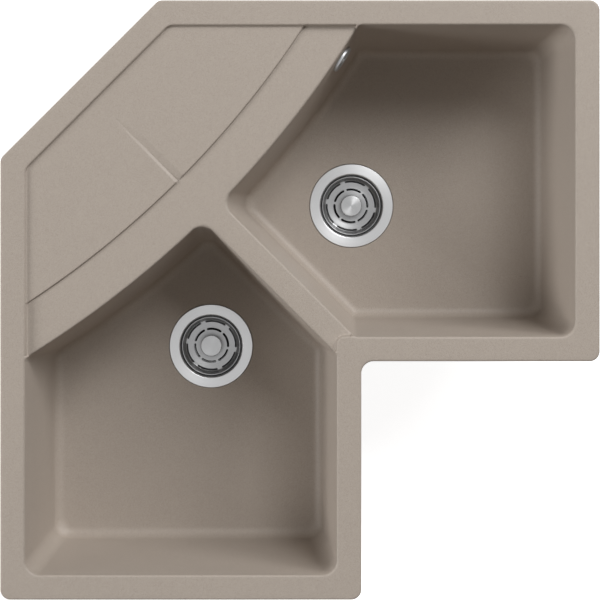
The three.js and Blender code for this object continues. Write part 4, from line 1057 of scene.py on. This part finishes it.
# %% Rosette, screw, gasket and elbow
rosette = turned("rosette", pressed(rounded([
    [2.3, 3.4], [12.6, 3.4], [15, 4.6], [18.2, 4.6], [19.8, 3.4], [20, 0.3]],
    [0, 2, 1.6, 1.4, 1.4, 0], 6), 1.2), 128)
slot = arc_slot(radius=11.2, width=2.4, middle=0, sweep=24, low=-1, high=5)
put("overflow_rosette", combined(rosette, [ring_of(8, slot)], "DIFFERENCE"), OVERFLOW)
put("overflow_screw", screw(
    shank=2, foot=ELBOW_FRONT - 19.8, seat=3.7, head=4, height=1.4, pitch=0.8), OVERFLOW)
put("overflow_gasket", ring("gasket", 14, 21, ELBOW_FRONT + GAP, -9.3), OVERFLOW)
ELBOW_WALL = 2.8
SPIGOT_DROP = 34.0


def elbow():
    """The elbow: a cup behind a flange, a boss for the screw, and a barbed spigot below."""
    cup = turned("elbow", rounded([
        [0, ELBOW_FRONT], [21, ELBOW_FRONT], [21, ELBOW_FRONT - ELBOW_WALL],
        [17, ELBOW_FRONT - ELBOW_WALL], [17, ELBOW_BACK], [0, ELBOW_BACK]],
        [0, 0.5, 0.7, 1.2, 4, 0]))
    inside = turned("inside", rounded([
        [0, ELBOW_BACK + ELBOW_WALL], [14.2, ELBOW_BACK + ELBOW_WALL], [14.2, ELBOW_FRONT + 1],
        [0, ELBOW_FRONT + 1]], [0, 3, 0, 0]))
    boss = rod(4.8, ELBOW_BACK + 1, ELBOW_FRONT - ELBOW_WALL)
    bore = rod(2.3, ELBOW_BACK + ELBOW_WALL, ELBOW_FRONT)
    x, y, z = elbow_axis
    low = z - SPIGOT_DROP
    spigot = moved(turned("spigot", rounded([
        [0, z], [SPIGOT_RADIUS, z], *barbs(low + 13, -1), [9.3, low + 2.6], [8.4, low], [0, low]],
        [0, 0, *[0.15] * 8, 0.5, 0.5, 0]), 48), shift(x, y))
    way = moved(rod(SPIGOT_BORE, low - 1, z), shift(x, y))
    cup, inside, boss, bore = [moved(mesh, OVERFLOW) for mesh in (cup, inside, boss, bore)]
    made = combined(combined(cup, [spigot], "UNION"), [inside, way], "DIFFERENCE")
    return combined(combined(made, [boss], "UNION"), [bore], "DIFFERENCE")


put("overflow_elbow", elbow())

# %% The hose and its clamps
HOSE_BORE, HOSE_SKIN, HOSE_RIB, HOSE_PITCH = 9.7, 11.2, 1.9, 4.2
HOSE_BEND, HOSE_CUFF, HOSE_GRIP = 48.0, 24.0, 14.0
HOSE_SIDES, RIB_ROWS, BORE_ROWS = 40, 10, 60
CLAMP_FROM_END = 7.0
HOSE_TOP = elbow_axis.z - SPIGOT_DROP + HOSE_GRIP
drop = HOSE_TOP - HOSE_Z - HOSE_BEND
level_run = span - SPIGOT_END + HOSE_GRIP - HOSE_BEND
HOSE_LENGTH = drop + HOSE_BEND * math.pi / 2 + level_run


def hose_route(s):
    """Centre and direction at each distance: straight down, a quarter circle, level."""
    s = np.atleast_1d(s).astype(float)
    turn = np.clip((s - drop) / HOSE_BEND, 0, math.pi / 2)
    run = np.maximum(s - drop - HOSE_BEND * math.pi / 2, 0)
    out = HOSE_BEND * (1 - np.cos(turn)) + run
    z = HOSE_TOP - np.minimum(s, drop) - HOSE_BEND * np.sin(turn)
    centre = np.stack([elbow_axis.x + across.x * out, elbow_axis.y + across.y * out, z], 1)
    along = np.stack([across.x * np.sin(turn), across.y * np.sin(turn), -np.cos(turn)], 1)
    return centre, along


def ribbed_hose():
    """A tube of rings along the route: outside with its ribs, then back along the bore.

    A rib is the square root of a rounded wave, so its top is broad and its foot is narrow.
    """
    count = round((HOSE_LENGTH - 2 * HOSE_CUFF) / HOSE_PITCH)
    ribbed = np.linspace(HOSE_CUFF, HOSE_LENGTH - HOSE_CUFF, count * RIB_ROWS + 1)
    rib = HOSE_RIB * np.sqrt(wave(np.linspace(0.5, count + 0.5, len(ribbed))))
    s = np.array([0, 0.4, *ribbed, HOSE_LENGTH - 0.4, HOSE_LENGTH, HOSE_LENGTH,
                  *np.linspace(HOSE_LENGTH, 0, BORE_ROWS), 0])
    radius = np.array([HOSE_SKIN - 0.4, HOSE_SKIN, *(HOSE_SKIN + rib), HOSE_SKIN, HOSE_SKIN - 0.4,
                       HOSE_BORE + 0.3, *[HOSE_BORE] * BORE_ROWS, HOSE_SKIN - 0.4])
    centre, along = hose_route(s)
    side = np.array([-across.y, across.x, 0])
    up = np.cross(along, side)
    angle = np.linspace(0, 2 * np.pi, HOSE_SIDES, endpoint=False)[:, None]
    ring_way = side * np.cos(angle) + up[:, None] * np.sin(angle)
    corners = centre[:, None] + radius[:, None, None] * ring_way
    return make_mesh("hose", corners.reshape(-1, 3), grid_faces(len(s), HOSE_SIDES))


put("overflow_hose", ribbed_hose())


def hose_clamp(s):
    """A band with worm slots round the hose, a screw housing on it, and the screw's head."""
    inner = HOSE_SKIN + 0.1
    band = turned("clamp", rounded([
        [inner, 0], [inner, -4.5], [inner + 0.9, -4.5], [inner + 0.9, 4.5], [inner, 4.5],
        [inner, 0]], [0, 0.15, 0.3, 0.3, 0.15, 0]))
    bite = block((-0.5, 0.5), (inner + 0.45, inner + 3), (-2.6, 2.6), edge=0.2)
    worm = together([moved(bite.copy(), about(a)) for a in range(-70, 71, 10)])
    band = combined(band, [worm], "DIFFERENCE")
    housing = block((-5, 6), (-inner - 6.6, -inner - 0.4), (-4.2, 4.2), edge=1.2)
    head = moved(turned("head", rounded([
        [0, -6], [3.2, -6], [3.2, -1.2], [2.7, 0], [0, 0]], [0, 0, 0.3, 0.3, 0]), 6),
        shift(-6, -inner - 3.6) @ about(90, "Y") @ about(180, "X"))
    made = combined(band, [housing, head], "UNION")
    slot = block((-7, -5.2), (-inner - 7, -inner - 0.5), (-0.5, 0.5), edge=0.1)
    made = combined(made, [slot], "DIFFERENCE")
    centre, along = hose_route(s)
    side = Vector((-across.y, across.x, 0))
    along = Vector(along[0])
    turn = Matrix([side, along.cross(side), along]).transposed().to_4x4()
    return moved(made, Matrix.Translation(centre[0]) @ turn)


put("hose_clamp_upper", hose_clamp(CLAMP_FROM_END))
put("hose_clamp_lower", hose_clamp(HOSE_LENGTH - CLAMP_FROM_END))
print(f"the hose is {HOSE_LENGTH:.0f} mm long, with {len(pieces)} pieces made")

# %% [markdown]
# ## The clips
#
# Six clips hold the rim down. Each has a brass bush cast into its boss, a long screw, and a
# zinc-plated claw that reaches under the worktop. The claw is sheet, bent twice: its middle line
# has rounded bends, and half the thickness is set off to both sides.

# %% Bush, screw and claw
SCREW_TOP = 12 - BOSS_DEPTH
HEAD_Z = SCREW_TOP - 52
CLAW_REACH, CLAW_HALF_WIDTH, CLAW_EASE = 24, 6, 0.3


def knurl(radius, height, angle):
    """A ripple: fine grooves along the bush, which grip the casting."""
    return -0.25 * wave(angle * 24 / (2 * np.pi)) * (radius > 3.6)


bush = turned("bush", rounded([
    [3.2, -BOSS_DEPTH], [3.7, -BOSS_DEPTH], [3.7, -12.3], [2.8, -12.3], [2.8, -BOSS_DEPTH + 0.4],
    [3.2, -BOSS_DEPTH]], [0, 0.2, 0.2, 0.2, 0.2, 0]), 96, knurl)
clip_screw = moved(screw(shank=2.5, foot=-SCREW_TOP, seat=-HEAD_Z, head=5, height=4, pitch=0.9),
                   about(180, "X"))


def claw():
    """The claw: a band either side of a bent middle line, as wide as the claw, with its edges
    eased, a hole for the screw and a tooth at the tip."""
    foot = HEAD_Z + GAP
    tip = foot + 28
    middle = rounded([[-7, foot + 1], [15, foot + 1], [15, tip - 1], [CLAW_REACH, tip - 1]],
                     [0, 2.6, 2.6, 0], 7)
    step = np.gradient(middle, axis=0)
    step /= np.linalg.norm(step, axis=1)[:, None]
    square = np.stack([-step[:, 1], step[:, 0]], 1)
    upper, lower = middle + square, middle - square
    upper = np.concatenate([upper[:-1], [[22.6, tip], [23.4, tip + 1], [CLAW_REACH, tip + 1]]])
    section = np.concatenate([lower, upper[::-1]])
    centre = section.mean(0)
    shrunk = section + (centre - section) * 0.012
    full = CLAW_HALF_WIDTH - CLAW_EASE
    rows = np.array([np.insert(line, 1, y, axis=1) for line, y in (
        (shrunk, -CLAW_HALF_WIDTH), (section, -full), (section, full), (shrunk, CLAW_HALF_WIDTH))])
    count = len(section)
    faces = [*grid_faces(4, count), list(range(count))[::-1], list(range(3 * count, 4 * count))]
    made = make_mesh("claw", rows.reshape(-1, 3), faces)
    hole = rod(3, foot - 1, foot + 3)
    return moved(combined(made, [hole], "DIFFERENCE"), about(-90))


claw_mesh = claw()
for k, place in enumerate(CLIP_PLACES, 1):
    put(f"clip_{k}_insert", bush, place)
    put(f"clip_{k}_screw", clip_screw, place)
    put(f"clip_{k}_claw", claw_mesh, place)
print(len(pieces), "pieces for", len(BODY_OF), "nodes")

# %% [markdown]
# ## Finishes
#
# The photograph is mostly one material, and its grain is too fine to see as grains: it shows as
# a soft, even stone colour. Close to, it is a mix of dark and light grains in a grey-brown
# binder. We make the grains with Voronoi cells, which are single colours with straight edges,
# as crushed quartz is. Metals and plastics get marks that follow how each was made: the flange
# is brushed round its axis, the basket is pressed steel whose darker colour is partly painted
# shade for the shade down in the dish, the knob is spun, so that light stands on it as wedges,
# and the rosette's plate is satin rather than a mirror.

# %% Node helpers
NUMBER = "NodeSocketFloat"


def new_group(name, inputs):
    """A node group with named numbers going in, as {name: value}; returns their sockets too."""
    group = bpy.data.node_groups.new(name, "ShaderNodeTree")
    for label, value in inputs.items():
        socket = group.interface.new_socket(label, in_out="INPUT", socket_type=NUMBER)
        socket.default_value = value
    return group, group.nodes.new("NodeGroupInput").outputs


def giving(group, **results):
    """The group, with a named number coming out for each result."""
    for label in results:
        group.interface.new_socket(label, in_out="OUTPUT", socket_type=NUMBER)
    outputs = group.nodes.new("NodeGroupOutput")
    for label, socket in results.items():
        group.links.new(socket, outputs.inputs[label])
    return group


def add(tree, kind, links=(), **values):
    """A node with its settings and input values, and links as (input, output socket)."""
    made = tree.nodes.new(kind)
    for key, value in values.items():
        if hasattr(made, key):
            setattr(made, key, value)
        else:
            made.inputs[key.replace("_", " ").title()].default_value = value
    for key, socket in links:
        tree.links.new(socket, made.inputs[key])
    return made


def math_node(tree, operation, a, b=None):
    """A Math node's output, for one or two sockets or numbers."""
    made = add(tree, "ShaderNodeMath", operation=operation)
    for k, value in enumerate((a, b)):
        if isinstance(value, (int, float)):
            made.inputs[k].default_value = value
        elif value is not None:
            tree.links.new(value, made.inputs[k])
    return made.outputs[0]


def mix_colours(tree, factor, a, b):
    """A mix of two colours, each a socket or (r, g, b)."""
    made = add(tree, "ShaderNodeMix", data_type="RGBA")
    tree.links.new(factor, made.inputs[0])
    for k, value in ((6, a), (7, b)):
        if isinstance(value, tuple):
            made.inputs[k].default_value = (*value, 1)
        else:
            tree.links.new(value, made.inputs[k])
    return made.outputs[2]


def placed_group(tree, group, **values):
    """The outputs of a node group placed in a tree with its input values."""
    made = tree.nodes.new("ShaderNodeGroup")
    made.node_tree = group
    for key, value in values.items():
        made.inputs[key.replace("_", " ")].default_value = value
    return made.outputs


# %% Shared effects: grains, turning marks and mould texture
def grains_group():
    """Crushed grains: cells with a random value each, a slow mottle, and a height."""
    group, inputs = new_group("grains", {"Size": 0.001, "Mottle Size": 0.02})
    place = add(group, "ShaderNodeTexCoord").outputs["Object"]
    scale = math_node(group, "DIVIDE", 1.0, inputs["Size"])
    cells = add(group, "ShaderNodeTexVoronoi", [("Vector", place), ("Scale", scale)])
    value = add(group, "ShaderNodeSeparateColor", [("Color", cells.outputs["Color"])])
    slow = math_node(group, "DIVIDE", 1.0, inputs["Mottle Size"])
    mottle = add(group, "ShaderNodeTexNoise", [("Vector", place), ("Scale", slow)], detail=3)
    fine = add(group, "ShaderNodeTexNoise", [("Vector", place), ("Scale", scale)], detail=2)
    rise = math_node(group, "ADD", math_node(
        group, "MULTIPLY", cells.outputs["Distance"], -0.5), fine.outputs["Fac"])
    return giving(group, Grain=value.outputs[0], Mottle=mottle.outputs["Fac"], Height=rise)


def turning_marks_group():
    """Marks left by turning: noise on (angle, distance along the profile), drawn out round
    the piece. The angle becomes a point on a small circle, so no seam shows."""
    group, inputs = new_group("turning_marks", {"Round": 0.6, "Spacing": 0.0004})
    uv = add(group, "ShaderNodeUVMap", uv_map="turning").outputs["UV"]
    parts = add(group, "ShaderNodeSeparateXYZ", [("Vector", uv)]).outputs
    angle = math_node(group, "MULTIPLY", parts[0], 2 * math.pi)
    around = [math_node(group, "MULTIPLY", math_node(group, way, angle), inputs["Round"])
              for way in ("SINE", "COSINE")]
    along = math_node(group, "DIVIDE", parts[1], inputs["Spacing"])
    spot = add(group, "ShaderNodeCombineXYZ", [(0, around[0]), (1, around[1]), (2, along)])
    marks = add(group, "ShaderNodeTexNoise", [("Vector", spot.outputs[0])], scale=1.0, detail=3)
    place = add(group, "ShaderNodeTexCoord").outputs["Object"]
    smudge = add(group, "ShaderNodeTexNoise", [("Vector", place)], scale=60.0, detail=2)
    return giving(group, Marks=marks.outputs["Fac"], Smudge=smudge.outputs["Fac"])


def mould_group():
    """A moulded skin: a fine even grain, and slow waves where the plastic sank as it cooled."""
    group, inputs = new_group("moulded_skin", {"Grain": 0.0006, "Sink": 0.015})
    place = add(group, "ShaderNodeTexCoord").outputs["Object"]
    noises = [add(group, "ShaderNodeTexNoise", [
        ("Vector", place), ("Scale", math_node(group, "DIVIDE", 1.0, inputs[size]))],
        detail=2).outputs["Fac"] for size in ("Grain", "Sink")]
    height = math_node(group, "ADD", noises[0], math_node(group, "MULTIPLY", noises[1], 2.0))
    return giving(group, Tone=noises[1], Height=height)


GRAINS, TURNING, MOULDED = grains_group(), turning_marks_group(), mould_group()

# %% A material's frame, and the stone composite
finishes = {}


def new_finish(slot, **values):
    """An empty material for a slot; returns its node tree and shader."""
    material = bpy.data.materials.new(slot + "_finish")
    material.use_nodes = True
    finishes[slot] = material
    shader = material.node_tree.nodes["Principled BSDF"]
    for key, value in values.items():
        shader.inputs[key.replace("_", " ").title()].default_value = value
    return material.node_tree, shader


def range_of(tree, socket, low, high):
    """A 0 to 1 value stretched to lie between two numbers."""
    return math_node(tree, "ADD", math_node(tree, "MULTIPLY", socket, high - low), low)


def bumped(tree, shader, height, distance):
    """A bump of a height in metres on the shader's normal."""
    bump = add(tree, "ShaderNodeBump", [("Height", height)])
    bump.inputs["Distance"].default_value = distance
    tree.links.new(bump.outputs[0], shader.inputs["Normal"])


def composite():
    """Binder with dark and light grains, in shares of about a seventh and a tenth."""
    tree, shader = new_finish("granite_composite")
    shader.inputs["Specular IOR Level"].default_value = 0.4
    grains = placed_group(tree, GRAINS, Size=0.00035, Mottle_Size=0.02)
    dark = math_node(tree, "LESS_THAN", grains["Grain"], 0.14)
    light = math_node(tree, "GREATER_THAN", grains["Grain"], 0.9)
    binder = mix_colours(tree, grains["Mottle"], (0.398, 0.346, 0.3), (0.418, 0.366, 0.316))
    colour = mix_colours(tree, dark, binder, (0.3, 0.255, 0.22))
    colour = mix_colours(tree, light, colour, (0.49, 0.44, 0.395))
    tree.links.new(colour, shader.inputs["Base Color"])
    tree.links.new(range_of(tree, grains["Grain"], 0.42, 0.58), shader.inputs["Roughness"])
    bumped(tree, shader, grains["Height"], 0.000014)


composite()


# %% Metals
def turned_metal(slot, colour, roughness, marks, spacing, anisotropy):
    """A turned or brushed metal: its marks run round the axis, vary its roughness and bump it
    a little. The tangent runs along the marks, and the shader's anisotropy, turned by a quarter,
    spreads each highlight across them, so light shows as wedges on a turned disc."""
    tree, shader = new_finish(slot, metallic=1.0, anisotropic=anisotropy,
                              anisotropic_rotation=0.25)
    shown = placed_group(tree, TURNING, Spacing=spacing)
    darker = tuple(channel * 0.86 for channel in colour)
    tree.links.new(mix_colours(tree, shown["Marks"], darker, colour), shader.inputs["Base Color"])
    rough = math_node(tree, "ADD", range_of(tree, shown["Marks"], *roughness), math_node(
        tree, "MULTIPLY", shown["Smudge"], 0.06))
    tree.links.new(rough, shader.inputs["Roughness"])
    bumped(tree, shader, shown["Marks"], marks)
    tangent = add(tree, "ShaderNodeTangent", direction_type="UV_MAP", uv_map="turning")
    tree.links.new(tangent.outputs[0], shader.inputs["Tangent"])


# For each: its colour, its roughness from and to, its marks' height and spacing in metres, and
# its anisotropy.
METALS = {
    "brushed_steel": ((0.56, 0.563, 0.567), (0.3, 0.42), 0.000004, 0.00025, 0.6),
    # The basket's pressed steel is darker than the flange's steel partly as painted shade: its
    # colour stands in for the shade down in the dish.
    "pressed_steel": ((0.37, 0.372, 0.376), (0.32, 0.44), 0.000004, 0.0003, 0.55),
    "spun_steel": ((0.46, 0.463, 0.467), (0.28, 0.38), 0.000004, 0.00025, 0.75),
    "chrome": ((0.5, 0.51, 0.52), (0.36, 0.46), 0.0000008, 0.0005, 0.0),
    "brass_insert": ((0.68, 0.5, 0.24), (0.25, 0.4), 0.000004, 0.0003, 0.3)}
for slot, values in METALS.items():
    turned_metal(slot, *values)


def zinc_plate():
    """Zinc plate: patches of crystals, each a little lighter or duller than the next."""
    tree, shader = new_finish("zinc_plated_steel", metallic=1.0)
    shown = placed_group(tree, GRAINS, Size=0.0035, Mottle_Size=0.009)
    patch = math_node(tree, "MULTIPLY", math_node(
        tree, "ADD", shown["Grain"], shown["Mottle"]), 0.5)
    tree.links.new(mix_colours(tree, patch, (0.5, 0.51, 0.5), (0.7, 0.71, 0.69)),
                   shader.inputs["Base Color"])
    tree.links.new(range_of(tree, patch, 0.28, 0.5), shader.inputs["Roughness"])
    bumped(tree, shader, shown["Mottle"], 0.00002)


zinc_plate()


# %% Rubber and plastics
def moulded(slot, colours, roughness, grain, bump):
    """A moulded material: a tone that shifts slowly between two colours, and its skin."""
    tree, shader = new_finish(slot)
    skin = placed_group(tree, MOULDED, Grain=grain)
    tree.links.new(mix_colours(tree, skin["Tone"], *colours), shader.inputs["Base Color"])
    tree.links.new(range_of(tree, skin["Tone"], *roughness), shader.inputs["Roughness"])
    bumped(tree, shader, skin["Height"], bump)


moulded("black_rubber", ((0.012, 0.012, 0.012), (0.022, 0.021, 0.02)), (0.62, 0.82),
        grain=0.0005, bump=0.00004)
moulded("white_plastic", ((0.76, 0.76, 0.74), (0.82, 0.82, 0.8)), (0.32, 0.46),
        grain=0.0009, bump=0.00002)
moulded("grey_hose", ((0.62, 0.62, 0.6), (0.7, 0.7, 0.68)), (0.4, 0.56),
        grain=0.0008, bump=0.00003)
print(len(finishes), "finishes")

# %% [markdown]
# ## Fitting out
#
# Each piece now takes its node's place: it rides on the node's body, stands for it, and wears
# the finish of its slot. Only the baskets and knobs wear a steel of their own. The baskets'
# steel is darker partly as painted shade, for the shade down in the dish.

# %% Every piece on its body
# The basket's steel carries painted shade: its darker colour stands in partly for the shade in the
# dish.
OWN_STEEL = {"basket": "pressed_steel", "knob": "spun_steel"}
for node, piece in pieces.items():
    finish = OWN_STEEL.get(node.split("_")[-1], SLOT_OF[node])
    piece.data.materials.clear()
    piece.data.materials.append(finishes[finish])
    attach(piece, BODY_OF[node])
    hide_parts(node)
triangles = sum(len(face.vertices) - 2 for piece in pieces.values() for face in piece.data.polygons)
print(f"{triangles:,} triangles in all")

# %% [markdown]
# ## Camera, floor and light
#
# The photograph looks straight down from a little over two metres, with its centre moved aside,
# so a small lens shift frames it. The bowls' floors darken softly towards their upper and right
# walls, so two key lamps stand at the upper right, one half way up and one lower. The right
# walls are bright all the same, so a third lamp stands low on the left, where it lights walls
# and little of the floors. A weak warm sky, even all round, fills the rest. The sky and the
# floor are white to the camera, the metal and anything clear, and the floor still takes the
# sink's shadow.

# %% The camera
EYE = (-0.1085, 0.1984, 2.306)
PICTURE_SIDE, PIXELS_ASIDE, PIXELS_DOWN = 600, 17, 82
camera = linked("camera", bpy.data.cameras.new("camera"))
camera.location = EYE
camera.data.sensor_width = 36
camera.data.angle = 2 * math.atan(SIDE * MM / 2 / (camera.location.z - RIM_TOP * MM))
camera.data.shift_x = PIXELS_ASIDE / PICTURE_SIDE
camera.data.shift_y = -PIXELS_DOWN / PICTURE_SIDE
bpy.context.scene.camera = camera
print(f"the camera stands {EYE[2]:.2f} m over the rim's seat")

# %% The floor
def direct_rays(tree):
    """1 for what the camera sees, straight or by way of metal or something clear, else 0."""
    rays = add(tree, "ShaderNodeLightPath").outputs
    return math_node(tree, "MAXIMUM", rays["Is Camera Ray"], math_node(
        tree, "MAXIMUM", rays["Is Glossy Ray"], rays["Is Transmission Ray"]))


FLOOR_HALF, FLOOR_BELOW = 6, 0.0005
FLOOR_GLOW, FLOOR_GREY = 0.9, 0.6
floor_mesh = bpy.data.meshes.new("studio_floor")
floor_z = cad_box[0][2] - FLOOR_BELOW
floor_mesh.from_pydata([(x * FLOOR_HALF, y * FLOOR_HALF, floor_z)
                        for x, y in ((-1, -1), (1, -1), (1, 1), (-1, 1))], [], [(0, 1, 2, 3)])
floor = linked("studio_floor", floor_mesh)
backdrop = bpy.data.materials.new("studio_floor")
backdrop.use_nodes = True
tree = backdrop.node_tree
tree.nodes.clear()
seen = direct_rays(tree)
strength = math_node(tree, "MULTIPLY", seen, FLOOR_GLOW)
glow = add(tree, "ShaderNodeEmission", [("Strength", strength)])
plain = add(tree, "ShaderNodeBsdfDiffuse")
plain.inputs["Color"].default_value = (FLOOR_GREY, FLOOR_GREY, FLOOR_GREY, 1)
both = add(tree, "ShaderNodeAddShader", [(0, glow.outputs[0]), (1, plain.outputs[0])])
add(tree, "ShaderNodeOutputMaterial", [("Surface", both.outputs[0])])
floor_mesh.materials.append(backdrop)
print(f"the floor lies {-floor_z:.3f} m under the rim's seat")

# %% The lamps and the sky
AIM = Vector((-0.08, 0.08, 0))
LAMP_DISTANCE, LAMP_SIZE = 9.0, 3.4
SKY_COLOUR, SKY_STRENGTH = (1, 0.86, 0.72), 0.09


def soft_lamp(name, bearing, height, energy):
    """A square lamp at a bearing and height in degrees from what it aims at."""
    lamp = linked(name, bpy.data.lights.new(name, "AREA"))
    away = Vector((1, 0, 0))
    away.rotate(about(bearing) @ about(-height, "Y"))
    lamp.location = AIM + away * LAMP_DISTANCE
    lamp.rotation_euler = (-away).to_track_quat("-Z", "Y").to_euler()
    lamp.data.size = LAMP_SIZE
    lamp.data.energy = energy
    print(f"{name}: {energy} W")


soft_lamp("high_key_lamp", bearing=60, height=48, energy=404)
soft_lamp("low_key_lamp", bearing=45, height=28, energy=352)
soft_lamp("left_lamp", bearing=185, height=24, energy=514)
world = bpy.data.worlds.new("studio")
bpy.context.scene.world = world
world.use_nodes = True
sky = world.node_tree.nodes["Background"]
seen = direct_rays(world.node_tree)
world.node_tree.links.new(mix_colours(world.node_tree, seen, SKY_COLOUR, (1, 1, 1)),
                          sky.inputs["Color"])
world.node_tree.links.new(range_of(world.node_tree, seen, SKY_STRENGTH, 1.0),
                          sky.inputs["Strength"])
bpy.context.scene.view_settings.view_transform = "Standard"
